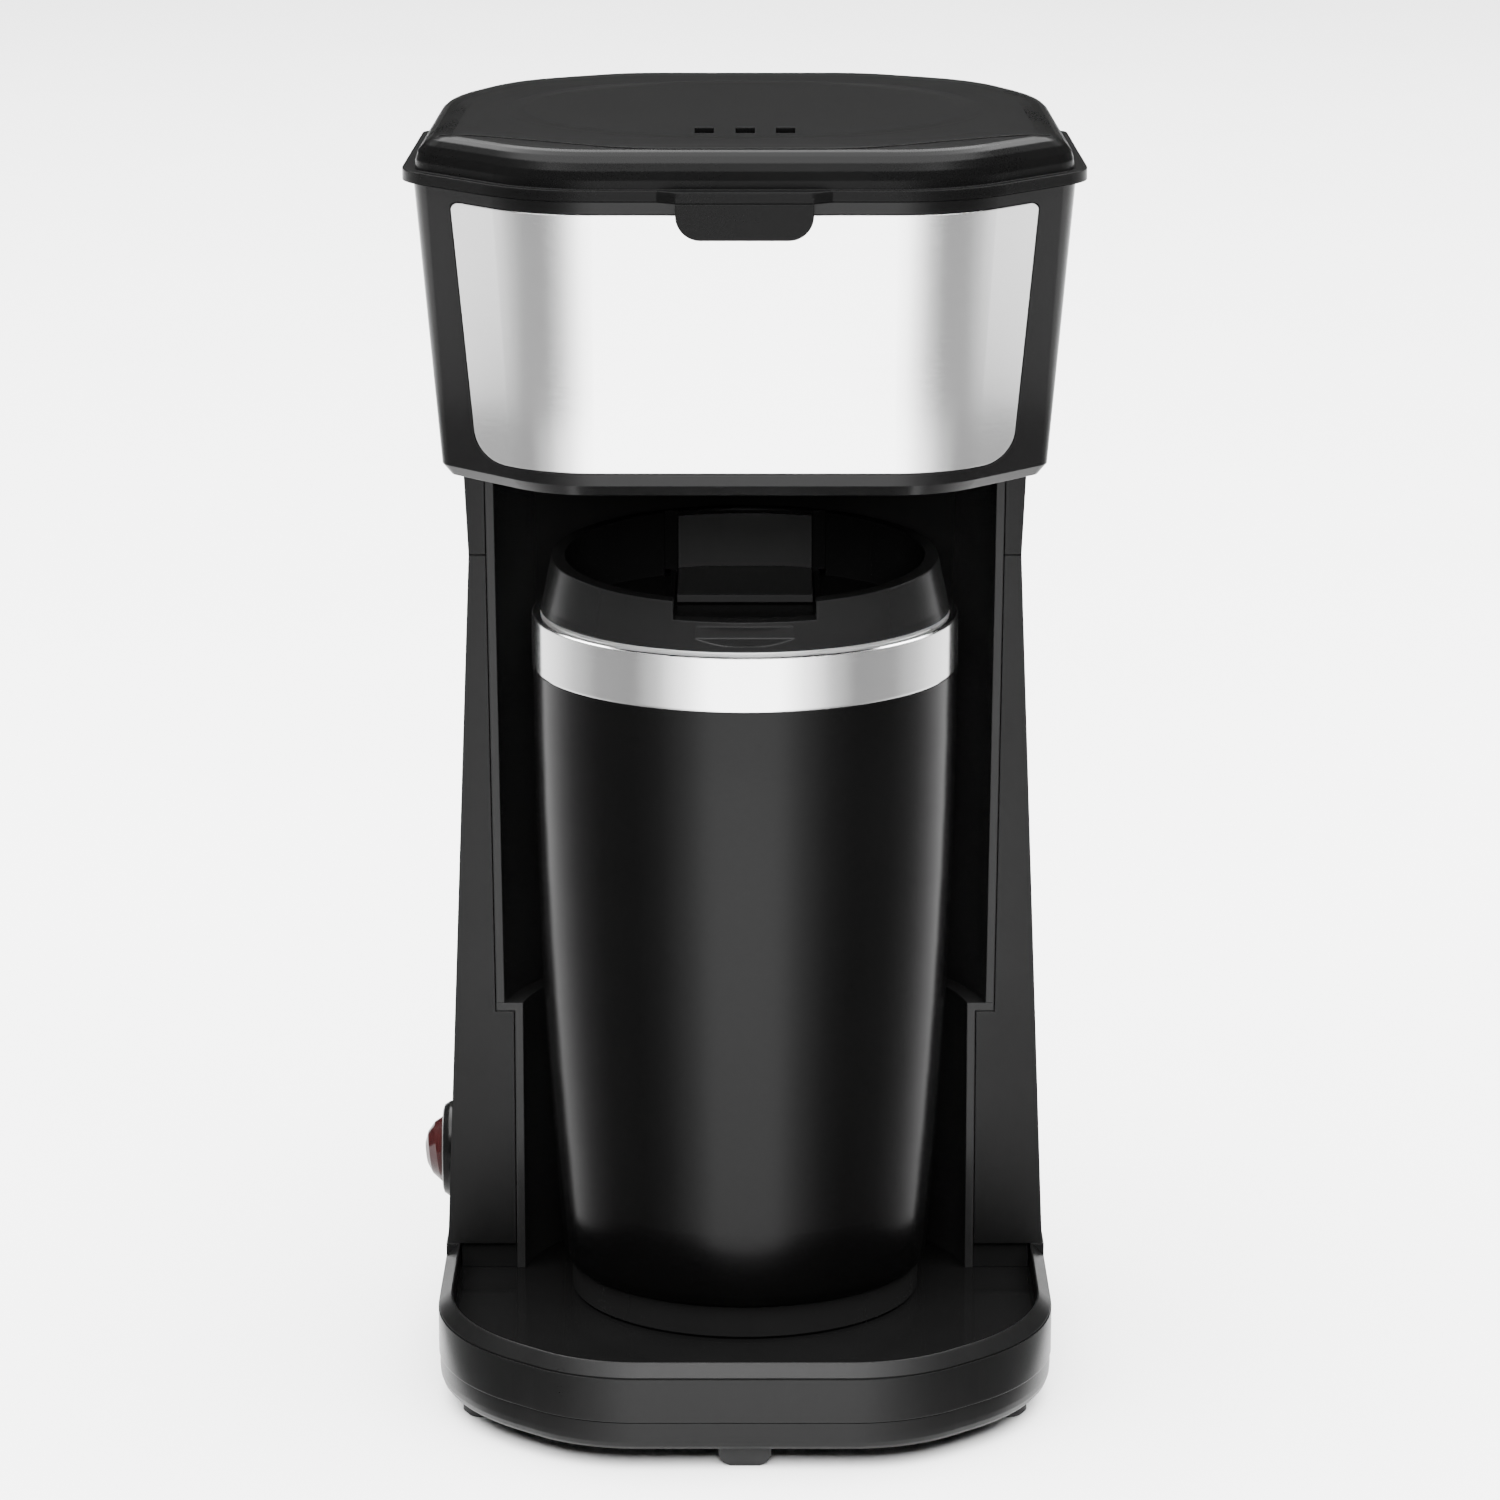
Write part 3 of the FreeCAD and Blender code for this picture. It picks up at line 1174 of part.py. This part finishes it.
kept(mug_piece("mug_band", [
    ("mug_liner_radius + 1.6", "mug_band_bottom"), ("mug_top_radius + 0.05", "mug_band_bottom"),
    ("mug_band_radius", "mug_band_bottom + 0.4"), ("mug_band_radius", "mug_band_top - 0.3"),
    ("mug_band_radius - 0.3", "mug_band_top"), ("mug_liner_radius + 1.6", "mug_band_top"),
]), "mug_band")
mug_lid()
kept(mug_piece("mug_lid_gasket", [
    ("mug_plug_radius", "142.2"), ("40", "143"), ("40", "144.2"), ("mug_plug_radius", "145"),
]), "mug_lid_gasket")
mug_lid_slider()


# ---------------------------------------------------------------------------------------------
# Check everything, then write each sub-part
# ---------------------------------------------------------------------------------------------
doc.recompute()
faults = []
for item in doc.Objects:
    if "Invalid" in item.State or "Error" in item.State:
        faults.append(f"{item.Name} ({item.Label}): {item.State}")
for part in sub_parts:
    if part.Shape.isNull() or not part.Shape.isValid():
        faults.append(f"{part.Label}: its shape is empty or not valid")
if faults:
    raise SystemExit("\n".join(faults))
for part in sub_parts:
    box = part.Shape.BoundBox
    part.Shape.exportStep(f"parts/{part.Label}.step")
    print(f"{part.Label:20s} {len(part.Shape.Solids)} solids {part.Shape.Volume:10.0f} mm3 "
          f"x {box.XMin:.1f} {box.XMax:.1f} y {box.YMin:.1f} {box.YMax:.1f} z {box.ZMin:.1f} {box.ZMax:.1f}")
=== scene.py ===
import math

import bmesh
import bpy
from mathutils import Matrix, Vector


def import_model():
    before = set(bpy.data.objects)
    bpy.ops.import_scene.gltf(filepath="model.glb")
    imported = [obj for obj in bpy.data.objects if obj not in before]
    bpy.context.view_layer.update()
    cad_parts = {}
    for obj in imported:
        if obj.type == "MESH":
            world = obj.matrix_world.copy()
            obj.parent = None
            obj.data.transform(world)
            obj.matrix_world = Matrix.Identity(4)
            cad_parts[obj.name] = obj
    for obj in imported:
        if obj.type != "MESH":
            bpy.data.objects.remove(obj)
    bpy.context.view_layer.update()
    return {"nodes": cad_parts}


# Looks of the single-serve coffee maker: metres, +Z up, front towards -Y.
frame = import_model()
nodes = frame["nodes"]


def top(name):
    """Height of a CAD node's highest point."""
    return max(point.co.z for point in nodes[name].data.vertices)


# Heights of the level joint lines between mouldings, which are painted black as the shade in their gaps.
PLATE_SEAM = top("bottom_plate")
BASE_SEAM = top("base_shell") - 0.0027
HEAD_SEAM = top("column_shell")
LID_SEAM = top("steel_panel") + 0.0029
TRAY_BELOW = 0.0225  # level faces of the base lower than this are the polished tray
CROWN_OVAL = ((0.0, -0.018), 0.0465, 0.0405)  # faint step on the lid: middle, half width, half depth
TRAY_GLOSS = 0.1  # roughness of the polished drip tray
MOULDED_EDGE, PRESSED_EDGE = 0.0004, 0.0003  # radius that sharp edges seem to have
SPECK_SCALE = 2600.0  # cells of the finest grain per metre
WEAVE_SCALE = 420.0  # fineness of the filter mesh's wires
PLASTIC_IOR = 1.49
SHARP_ANGLE = 32.0  # degrees; flatter edges of a smoothed piece are shaded as one surface


# ---------------------------------------------------------------------------------------------
# Node materials
# ---------------------------------------------------------------------------------------------
class Shader:
    """A material's node tree with short ways to add and join nodes."""

    def __init__(self, name):
        self.material = bpy.data.materials.new(name)
        self.material.use_nodes = True
        self.tree = self.material.node_tree
        self.tree.nodes.clear()
        self.output = self.add("ShaderNodeOutputMaterial")
        self.surface = self.add("ShaderNodeBsdfPrincipled")
        self.join(self.surface.outputs["BSDF"], self.output.inputs["Surface"])
        self.place = self.add("ShaderNodeTexCoord").outputs["Object"]

    def add(self, kind, **settings):
        node = self.tree.nodes.new(kind)
        for key, setting in settings.items():
            setattr(node, key, setting)
        return node

    def join(self, source, target):
        self.tree.links.new(source, target)
        return source

    def put(self, socket, item):
        """Joins an output to a socket, or sets the socket's own value."""
        if isinstance(item, bpy.types.NodeSocket):
            self.join(item, socket)
        else:
            socket.default_value = item

    def stretched(self, scale):
        """The object's own place, scaled along each axis."""
        mapping = self.add("ShaderNodeMapping")
        mapping.inputs["Scale"].default_value = scale
        self.join(self.place, mapping.inputs["Vector"])
        return mapping.outputs["Vector"]

    def noise(self, scale, detail=3.0, rough=0.5, stretch=None):
        """Cloudy values from 0 to 1; the scale is in cells per metre."""
        node = self.add("ShaderNodeTexNoise")
        node.inputs["Scale"].default_value = scale
        node.inputs["Detail"].default_value = detail
        node.inputs["Roughness"].default_value = rough
        self.join(self.stretched(stretch) if stretch else self.place, node.inputs["Vector"])
        return node.outputs["Fac"]

    def ranged(self, source, low, high, start=0.0, end=1.0):
        """The source's stretch from start to end, spread over low to high."""
        node = self.add("ShaderNodeMapRange")
        node.inputs["From Min"].default_value = start
        node.inputs["From Max"].default_value = end
        node.inputs["To Min"].default_value = low
        node.inputs["To Max"].default_value = high
        self.join(source, node.inputs["Value"])
        return node.outputs["Result"]

    def calc(self, first, second, operation="ADD"):
        """Adds two numbers, or works out another operation on them."""
        node = self.add("ShaderNodeMath", operation=operation)
        self.put(node.inputs[0], first)
        self.put(node.inputs[1], second)
        return node.outputs["Value"]

    def mixed(self, share, first, second):
        """A colour between two colours."""
        node = self.add("ShaderNodeMix", data_type="RGBA")
        self.put(node.inputs["Factor"], share)
        self.put(node.inputs[6], first)
        self.put(node.inputs[7], second)
        return node.outputs[2]

    def rounded(self, radius):
        """Normal that turns smoothly over sharp edges, as moulded and pressed edges do."""
        bevel = self.add("ShaderNodeBevel", samples=4)
        bevel.inputs["Radius"].default_value = radius
        return bevel.outputs["Normal"]

    def bump(self, height, strength, distance, onto=None):
        """Normal of a relief, laid over another normal if one is given."""
        node = self.add("ShaderNodeBump")
        node.inputs["Strength"].default_value = strength
        node.inputs["Distance"].default_value = distance
        self.join(height, node.inputs["Height"])
        if onto:
            self.join(onto, node.inputs["Normal"])
        return node.outputs["Normal"]

    def blended(self, share, first, second):
        """A number between two numbers."""
        node = self.add("ShaderNodeMix", data_type="FLOAT")
        self.put(node.inputs["Factor"], share)
        self.put(node.inputs[2], first)
        self.put(node.inputs[3], second)
        return node.outputs[0]

    def height(self):
        """Height above the table with every joint at rest."""
        places = self.add("ShaderNodeSeparateXYZ")
        self.join(self.place, places.inputs[0])
        return places.outputs["Z"]

    def level(self, share):
        """1 on faces that lie flatter than the share, looking up, otherwise 0."""
        facing = self.add("ShaderNodeSeparateXYZ")
        self.join(self.add("ShaderNodeNewGeometry").outputs["Normal"], facing.inputs[0])
        return self.calc(facing.outputs["Z"], share, "GREATER_THAN")

    def low_and_flat(self, height):
        """1 on level faces below the height, otherwise 0."""
        return self.calc(self.calc(self.height(), height, "LESS_THAN"), self.level(0.8), "MULTIPLY")

    def painted_seam_shade(self, heights, half_width=0.00022):
        """0 in thin level lines at the heights, where two mouldings meet, and 1 elsewhere; marks where
        shade in the joint gaps is painted.
        """
        lines = None
        for height in heights:
            off = self.calc(self.calc(self.height(), height, "SUBTRACT"), 0.0, "ABSOLUTE")
            line = self.ranged(off, 0.0, 1.0, 0.0, half_width)
            lines = self.calc(lines, line, "MINIMUM") if lines else line
        return lines

    def oval(self, middle, across, deep):
        """Distance from the middle in an upright plan, 1 on the oval of the given half sizes."""
        mapping = self.add("ShaderNodeMapping")
        mapping.inputs["Location"].default_value = (-middle[0] / across, -middle[1] / deep, 0.0)
        mapping.inputs["Scale"].default_value = (1 / across, 1 / deep, 0.0)
        self.join(self.place, mapping.inputs["Vector"])
        length = self.add("ShaderNodeVectorMath", operation="LENGTH")
        self.join(mapping.outputs["Vector"], length.inputs[0])
        return length.outputs["Value"]

    def worn_edges(self, spread=0.0012):
        """About 1 on convex edges and 0 on flats."""
        bevel = self.add("ShaderNodeBevel", samples=4)
        bevel.inputs["Radius"].default_value = spread
        geometry = self.add("ShaderNodeNewGeometry")
        dot = self.add("ShaderNodeVectorMath", operation="DOT_PRODUCT")
        self.join(bevel.outputs["Normal"], dot.inputs[0])
        self.join(geometry.outputs["Normal"], dot.inputs[1])
        return self.ranged(dot.outputs["Value"], 0.0, 1.0, 0.995, 0.85)

    def finish(self, **sockets):
        """Fills the surface's sockets and returns the material; an underscore stands for a space."""
        for key, item in sockets.items():
            self.put(self.surface.inputs[key.replace("_", " ")], item)
        return self.material


def grey(level, tint=(1.0, 1.0, 1.0)):
    """An opaque grey, or a tinted one."""
    return (level * tint[0], level * tint[1], level * tint[2], 1.0)


def plastic(name, level, rough, grain=900.0, depth=0.00003, specular=0.5, wear=0.1,
            glossy_floor=None, matte_top=None, shaded_seams=(), ring=None):
    """Moulded plastic: fine grain, cloudy gloss, rounded and slightly paler worn edges.

    Flat faces below the height glossy_floor are polished, flat tops take the roughness matte_top, and
    seams are the heights of level joint lines, painted black as the shade in the gaps between mouldings.
    ring is a faint oval step (middle, half width, half depth).
    """
    shader = Shader(name)
    clouds = shader.noise(38.0, detail=4.0, rough=0.6)
    fine = shader.noise(grain, detail=2.0, rough=0.6)
    speck = shader.noise(SPECK_SCALE, detail=1.0, rough=0.5)
    edge = shader.worn_edges()
    base = shader.mixed(shader.ranged(clouds, 0.0, 1.0, 0.3, 0.7), grey(level * 0.9), grey(level * 1.1))
    base = shader.mixed(shader.calc(edge, wear, "MULTIPLY"), base, grey(level * 1.9 + 0.006))
    smooth = shader.ranged(clouds, rough * 0.88, rough * 1.12, 0.25, 0.75)
    smooth = shader.calc(smooth, shader.ranged(speck, -0.025, 0.025, 0.3, 0.7))
    if glossy_floor:
        smooth = shader.blended(shader.low_and_flat(glossy_floor), smooth, TRAY_GLOSS)
    if matte_top:
        smooth = shader.blended(shader.level(0.99), smooth, matte_top)
    normal = shader.bump(fine, 0.35, depth, onto=shader.rounded(MOULDED_EDGE))
    normal = shader.bump(speck, 0.2, depth * 0.5, onto=normal)
    if ring:
        step = shader.ranged(shader.oval(*ring), 0.0, 1.0, 0.96, 1.04)
        normal = shader.bump(step, 0.8, 0.0004, onto=normal)
    # Painted shade: each joint line is painted black and fully rough, as the shade in the gap between two
    # mouldings; the bump gives it a groove.
    if shaded_seams:
        lines = shader.painted_seam_shade(shaded_seams)
        base = shader.mixed(lines, grey(0.0), base)
        smooth = shader.blended(lines, 1.0, smooth)
        normal = shader.bump(lines, 1.0, 0.0012, onto=normal)
    return shader.finish(Base_Color=base, Roughness=smooth, Normal=normal, Specular_IOR_Level=specular)


def brushed(name, level, rough, stretch, grain=140.0, tint=(1, 1, 1), streaks=0.06, depth=0.000012):
    """Brushed metal: fine scratches that run along the axis, or axes, with the smallest stretch."""
    shader = Shader(name)
    lines = shader.noise(grain, detail=5.0, rough=0.7, stretch=stretch)
    broad = shader.noise(grain * 0.22, detail=3.0, rough=0.6, stretch=stretch)
    clouds = shader.noise(24.0, detail=3.0, rough=0.5)
    base = shader.mixed(shader.ranged(lines, 0.0, 1.0, 0.3, 0.7),
                        grey(level * (1 - streaks), tint), grey(level * (1 + streaks), tint))
    base = shader.mixed(shader.ranged(broad, 0.0, 0.5, 0.4, 0.7), base, grey(level * 0.97, tint))
    smooth = shader.ranged(lines, rough * 0.8, rough * 1.25, 0.3, 0.7)
    smooth = shader.calc(smooth, shader.ranged(clouds, -0.02, 0.02, 0.3, 0.7))
    normal = shader.bump(lines, 0.25, depth, onto=shader.rounded(PRESSED_EDGE))
    return shader.finish(Base_Color=base, Metallic=1.0, Roughness=smooth, Normal=normal)


def rubber(name, level, tint=(1, 1, 1)):
    """Dull rubber or silicone with fine grain and a little dust."""
    shader = Shader(name)
    grain = shader.noise(1400.0, detail=2.0, rough=0.6)
    dust = shader.noise(60.0, detail=5.0, rough=0.65)
    dusty = grey(level * 1.7 + 0.01, tint)
    base = shader.mixed(shader.ranged(dust, 0.0, 0.6, 0.45, 0.75), grey(level, tint), dusty)
    smooth = shader.ranged(dust, 0.68, 0.86, 0.3, 0.7)
    normal = shader.bump(grain, 0.5, 0.00005)
    return shader.finish(Base_Color=base, Roughness=smooth, Normal=normal, Specular_IOR_Level=0.35)


def clear(name, tint, rough, weight=0.85):
    """Clear or tinted plastic with slight mould haze."""
    shader = Shader(name)
    haze = shader.noise(45.0, detail=4.0, rough=0.6)
    fine = shader.noise(700.0, detail=2.0, rough=0.5)
    deeper = tuple(channel * 0.86 for channel in tint[:3]) + (1.0,)
    base = shader.mixed(shader.ranged(haze, 0.0, 1.0, 0.3, 0.7), tint, deeper)
    smooth = shader.ranged(haze, rough * 0.7, rough * 1.4, 0.3, 0.7)
    normal = shader.bump(fine, 0.15, 0.00003)
    return shader.finish(Base_Color=base, Roughness=smooth, Normal=normal, Transmission_Weight=weight,
                         IOR=PLASTIC_IOR)


def woven(name, level):
    """Fine wire mesh as crossing waves."""
    shader = Shader(name)
    bands = []
    for direction in ("X", "Z"):
        wave = shader.add("ShaderNodeTexWave", wave_type="BANDS", bands_direction=direction)
        wave.inputs["Scale"].default_value = WEAVE_SCALE
        shader.join(shader.place, wave.inputs["Vector"])
        bands.append(wave.outputs["Fac"])
    weave = shader.calc(bands[0], bands[1], "MAXIMUM")
    base = shader.mixed(weave, grey(level * 0.15), grey(level, (1.0, 0.96, 0.86)))
    return shader.finish(Base_Color=base, Metallic=0.9, Roughness=shader.ranged(weave, 0.55, 0.3),
                         Normal=shader.bump(weave, 0.7, 0.0002))


material = {
    "base": plastic("base plastic", level=0.0028, rough=0.32, grain=1100.0, depth=0.00002, specular=0.13,
                    glossy_floor=TRAY_BELOW, shaded_seams=(BASE_SEAM,)),
    "plate": plastic("plate plastic", level=0.0028, rough=0.36, grain=1000.0, specular=0.13,
                     shaded_seams=(PLATE_SEAM,)),
    "column": plastic("column plastic", level=0.0028, rough=0.42, grain=1100.0, specular=0.19,
                      shaded_seams=(HEAD_SEAM,)),
    # Partly painted light: the bay liners are paler than the other black plastics, partly their own dark
    # grey and partly lightened for the shaded bay.
    "liner": plastic("liner plastic", level=0.009, rough=0.2, grain=500.0, depth=0.000012, specular=0.12),
    "head": plastic("head plastic", level=0.0026, rough=0.2, depth=0.00001, specular=0.125,
                    shaded_seams=(HEAD_SEAM, LID_SEAM)),
    "deck": plastic("deck plastic", level=0.007, rough=0.4, specular=0.22),
    "lid": plastic("lid plastic", level=0.0018, rough=0.3, grain=1200.0, depth=0.000012, specular=0.07,
                   matte_top=0.33, shaded_seams=(LID_SEAM,), ring=CROWN_OVAL),
    "bezel": plastic("bezel plastic", level=0.003, rough=0.24, grain=600.0, depth=0.00001, specular=0.14),
    "switch": plastic("switch plastic", level=0.01, rough=0.42, specular=0.2),
    "inner": plastic("basket plastic", level=0.011, rough=0.4, specular=0.25),
    # Painted light: the mug lid is paler than the other black plastics, to lighten its shaded recess and
    # its cone.
    "mug_lid": plastic("mug lid plastic", level=0.006, rough=0.22, depth=0.000015, specular=0.14),
    # Painted reflection: the slider is much paler than the other black plastics, standing in for the grey
    # sheen it reflects in the shaded recess.
    "slider": plastic("slider plastic", level=0.03, rough=0.34, depth=0.000015, specular=0.2),
    "mug": plastic("mug paint", level=0.001, rough=0.2, grain=1600.0, depth=0.000008, specular=0.105,
                   wear=0.05),
    # Partly painted sheen: the foot is a little paler than a plain black moulding, partly its own tone and
    # partly standing in for its soft sheen.
    "mug_foot": plastic("mug foot plastic", level=0.006, rough=0.24, depth=0.00002, specular=0.14),
    "block": plastic("terminal plastic", level=0.75, rough=0.5, wear=0.35),
    "fuse": plastic("fuse ceramic", level=0.8, rough=0.55, wear=0.35),
    "panel": brushed("panel steel", level=0.92, rough=0.2, stretch=(0.6, 8.0, 26.0), grain=120.0,
                     streaks=0.03),
    "band": brushed("band steel", level=0.88, rough=0.14, stretch=(1.0, 1.0, 14.0), grain=160.0,
                    streaks=0.03),
    "mug_liner": brushed("liner steel", level=0.62, rough=0.32, stretch=(1.0, 1.0, 10.0)),
    "screw": brushed("screw steel", level=0.55, rough=0.35, stretch=(1.0, 1.0, 4.0), grain=300.0),
    "bracket": brushed("bracket steel", level=0.5, rough=0.4, stretch=(8.0, 1.0, 1.0), grain=200.0),
    "aluminium": brushed("cast aluminium", level=0.6, rough=0.45, stretch=(1.0, 1.0, 1.0), grain=900.0,
                         streaks=0.12, depth=0.00005),
    "element": brushed("element tube", level=0.45, rough=0.25, stretch=(1.0, 6.0, 6.0), grain=200.0),
    "brass": brushed("terminal brass", level=0.62, rough=0.3, stretch=(6.0, 1.0, 1.0), grain=200.0,
                     tint=(1.0, 0.8, 0.45)),
    "rubber": rubber("foot rubber", level=0.006),
    "silicone": rubber("hose silicone", level=0.55, tint=(1.0, 1.0, 0.96)),
    "mesh": woven("filter mesh", level=0.6),
    "tank": clear("tank plastic", tint=(0.82, 0.86, 0.88, 1.0), rough=0.12),
    "rocker": clear("rocker plastic", tint=(0.02, 0.005, 0.005, 1.0), rough=0.16, weight=0.1),
}

looks = {
    "base": ["base_shell"],
    "plate": ["bottom_plate"],
    "column": ["column_shell"],
    "liner": ["lower_bay_liner", "upper_bay_liner"],
    "head": ["head_shell"],
    "deck": ["top_deck", "check_valve", "lid_shower_plate", "brew_funnel", "outlet_spout"],
    "lid": ["lid"],
    "bezel": ["switch_bezel"],
    "switch": ["switch_housing"],
    "inner": ["filter_basket"],
    "mug_lid": ["mug_lid"],
    "slider": ["mug_lid_slider"],
    "mug": ["mug_shell"],
    "mug_foot": ["mug_foot"],
    "block": ["terminal_block"],
    "fuse": ["thermal_fuse"],
    "panel": ["steel_panel"],
    "band": ["mug_band"],
    "mug_liner": ["mug_liner"],
    "screw": ["base_screws", "column_screws", "lid_hinge_pin"],
    "bracket": ["heater_brackets"],
    "aluminium": ["heater_block", "thermostat"],
    "element": ["heating_element"],
    "brass": ["switch_terminals"],
    "rubber": ["front_foot", "right_side_foot", "left_side_foot", "right_rear_foot", "left_rear_foot",
               "cord_gland"],
    "silicone": ["cold_hose", "riser_hose", "mug_lid_gasket"],
    "mesh": ["filter_mesh"],
    "tank": ["water_tank"],
    "rocker": ["switch_rocker"],
}


def dress(piece, look):
    """Gives the piece one of the materials in place of its plain one."""
    piece.data.materials.clear()
    piece.data.materials.append(material[look])


def smoothed(piece):
    """Shades gently curved faces as one and keeps real corners sharp."""
    for face in piece.data.polygons:
        face.use_smooth = True
    piece.data.set_sharp_from_angle(angle=math.radians(SHARP_ANGLE))


for look, names in looks.items():
    for name in names:
        dress(nodes[name], look)
for name in ("lid", "mug_shell"):
    smoothed(nodes[name])


# ---------------------------------------------------------------------------------------------
# Floor, light and camera
# ---------------------------------------------------------------------------------------------
FLOOR_HALF = 12.0  # half the floor's side
TENT_RINGS = ((0.085, 0.0005), (0.15, 0.0005), (0.15, 0.189), (0.3, 0.1895), (0.3, 0.34))  # radius, height
TENT_SIDES = 72
TENT_STEP = 0.18899  # above this height the tent's dark part starts closer to the front
TENT_TURN_LOW, TENT_TURN_HIGH = 0.75, 0.975  # ramp position at the very back, below and above the step
TENT_DENSITY = ((0.06, 0.0), (0.105, 0.5), (0.158, 0.84), (0.21, 0.94), (0.3, 0.93), (0.375, 0.84),
                (0.435, 0.7), (0.525, 0.55), (0.71, 0.5), (0.8, 0.12))  # ramp position, density
# How far back a direction points, and the sky's strength at those two ends.
SKY_SPREAD = {"From Min": -0.2, "From Max": 0.8, "To Min": 0.05, "To Max": 0.22}
SKY_RIGHT = 0.25  # share by which the right is paler and the left darker
CAMERA_LENS = 146.4  # mm, on a sensor 36 mm wide
CAMERA_PLACE = (0.00105, -1.2488, 0.44815)
CAMERA_DOWN = 14.172  # degrees


def floor():
    """A wide plain sheet on which the object stands."""
    mesh = bpy.data.meshes.new("Floor")
    shape = bmesh.new()
    half = FLOOR_HALF
    corners = ((-half, -half, 0), (half, -half, 0), (half, half, 0), (-half, half, 0))
    shape.faces.new([shape.verts.new(place) for place in corners])
    shape.to_mesh(mesh)
    shape.free()
    sheet = bpy.data.objects.new("Floor", mesh)
    bpy.context.scene.collection.objects.link(sheet)
    shader = Shader("studio floor")
    soft = shader.noise(6.0, detail=3.0, rough=0.5)
    base = shader.mixed(shader.ranged(soft, 0.0, 1.0, 0.3, 0.7), grey(0.79), grey(0.81))
    shader.finish(Base_Color=base, Roughness=0.8, Specular_IOR_Level=0.1)
    mesh.materials.append(shader.material)


def tent():
    """Dark gauze that only gloss sees: open in front and densest at both front quarters.

    It lies flat round the base, stands up beside the object, and steps outwards beside the head.
    """
    mesh = bpy.data.meshes.new("Tent")
    shape = bmesh.new()
    rings = []
    for step in range(TENT_SIDES + 1):
        turn = math.radians(step * 360 / TENT_SIDES)
        rings.append([shape.verts.new((math.sin(turn) * out, -math.cos(turn) * out, up))
                      for out, up in TENT_RINGS])
    for ring, following in zip(rings, rings[1:]):
        for low in range(len(ring) - 1):
            shape.faces.new((ring[low], following[low], following[low + 1], ring[low + 1]))
    shape.to_mesh(mesh)
    shape.free()
    gauze = bpy.data.objects.new("Tent", mesh)
    bpy.context.scene.collection.objects.link(gauze)
    gauze.visible_camera = False
    gauze.visible_shadow = False
    gauze.visible_diffuse = False
    gauze.visible_transmission = False
    shader = Shader("tent gauze")
    place = shader.add("ShaderNodeSeparateXYZ")
    shader.join(shader.place, place.inputs[0])
    ahead = shader.calc(place.outputs["Y"], -1.0, "MULTIPLY")
    bearing = shader.calc(shader.calc(place.outputs["X"], ahead, "ARCTAN2"), math.pi, "DIVIDE")
    upper = shader.calc(place.outputs["Z"], TENT_STEP, "GREATER_THAN")
    bearing = shader.calc(bearing, shader.ranged(upper, TENT_TURN_LOW, TENT_TURN_HIGH), "MULTIPLY")
    ramp = shader.add("ShaderNodeValToRGB")
    shader.join(shader.calc(bearing, 0.0, "ABSOLUTE"), ramp.inputs[0])
    elements = ramp.color_ramp.elements
    elements[0].position, elements[1].position = TENT_DENSITY[0][0], TENT_DENSITY[-1][0]
    for position, _ in TENT_DENSITY[1:-1]:
        elements.new(position)
    for element, (_, density) in zip(elements, TENT_DENSITY):
        element.color = grey(density)
    seen = shader.add("ShaderNodeMixShader")
    shader.join(ramp.outputs["Color"], seen.inputs[0])
    shader.join(shader.add("ShaderNodeBsdfTransparent").outputs[0], seen.inputs[1])
    shader.finish(Base_Color=grey(0.01), Roughness=0.95, Specular_IOR_Level=0.0)
    shader.join(shader.surface.outputs[0], seen.inputs[2])
    shader.join(seen.outputs[0], shader.output.inputs["Surface"])
    mesh.materials.append(shader.material)


def panel_light(name, place, aim, width, height, power):
    """A soft white panel that the camera doesn't see."""
    light = bpy.data.lights.new(name, "AREA")
    light.shape = "RECTANGLE"
    light.size = width
    light.size_y = height
    light.energy = power
    lamp = bpy.data.objects.new(name, light)
    lamp.location = place
    lamp.rotation_euler = (Vector(aim) - Vector(place)).to_track_quat("-Z", "Y").to_euler()
    lamp.visible_camera = False
    bpy.context.scene.collection.objects.link(lamp)
    return lamp


def world():
    """Dark in front, paler behind and to the right."""
    setting = bpy.data.worlds.new("studio")
    setting.use_nodes = True
    tree = setting.node_tree
    place = tree.nodes.new("ShaderNodeTexCoord")
    split = tree.nodes.new("ShaderNodeSeparateXYZ")
    tree.links.new(place.outputs["Generated"], split.inputs[0])
    behind = tree.nodes.new("ShaderNodeMapRange")
    for socket, number in SKY_SPREAD.items():
        behind.inputs[socket].default_value = number
    tree.links.new(split.outputs["Y"], behind.inputs["Value"])
    right = tree.nodes.new("ShaderNodeMath")
    right.operation = "MULTIPLY_ADD"
    right.inputs[1].default_value = SKY_RIGHT
    right.inputs[2].default_value = 1.0
    tree.links.new(split.outputs["X"], right.inputs[0])
    level = tree.nodes.new("ShaderNodeMath")
    level.operation = "MULTIPLY"
    tree.links.new(behind.outputs["Result"], level.inputs[0])
    tree.links.new(right.outputs["Value"], level.inputs[1])
    tree.links.new(level.outputs["Value"], tree.nodes["Background"].inputs["Strength"])
    bpy.context.scene.world = setting


def camera():
    """A long lens from the front, looking slightly down, with everything in focus."""
    lens = bpy.data.cameras.new("camera")
    lens.lens = CAMERA_LENS
    lens.sensor_width = 36.0
    lens.clip_start = 0.1
    lens.clip_end = 40.0
    eye = bpy.data.objects.new("camera", lens)
    eye.location = CAMERA_PLACE
    eye.rotation_euler = (math.radians(90 - CAMERA_DOWN), 0.0, 0.0)
    bpy.context.scene.collection.objects.link(eye)
    bpy.context.scene.camera = eye


floor()
tent()
world()
panel_light("overhead", place=(0.0, -0.2, 2.1), aim=(0.0, -0.2, 0.0), width=5.0, height=5.0, power=1050.0)
fill = panel_light("fill", place=(0.0, -0.62, 0.36), aim=(0.0, 0.0, 0.17), width=0.2, height=0.12,
                   power=4.0)
fill.visible_glossy = False
camera()
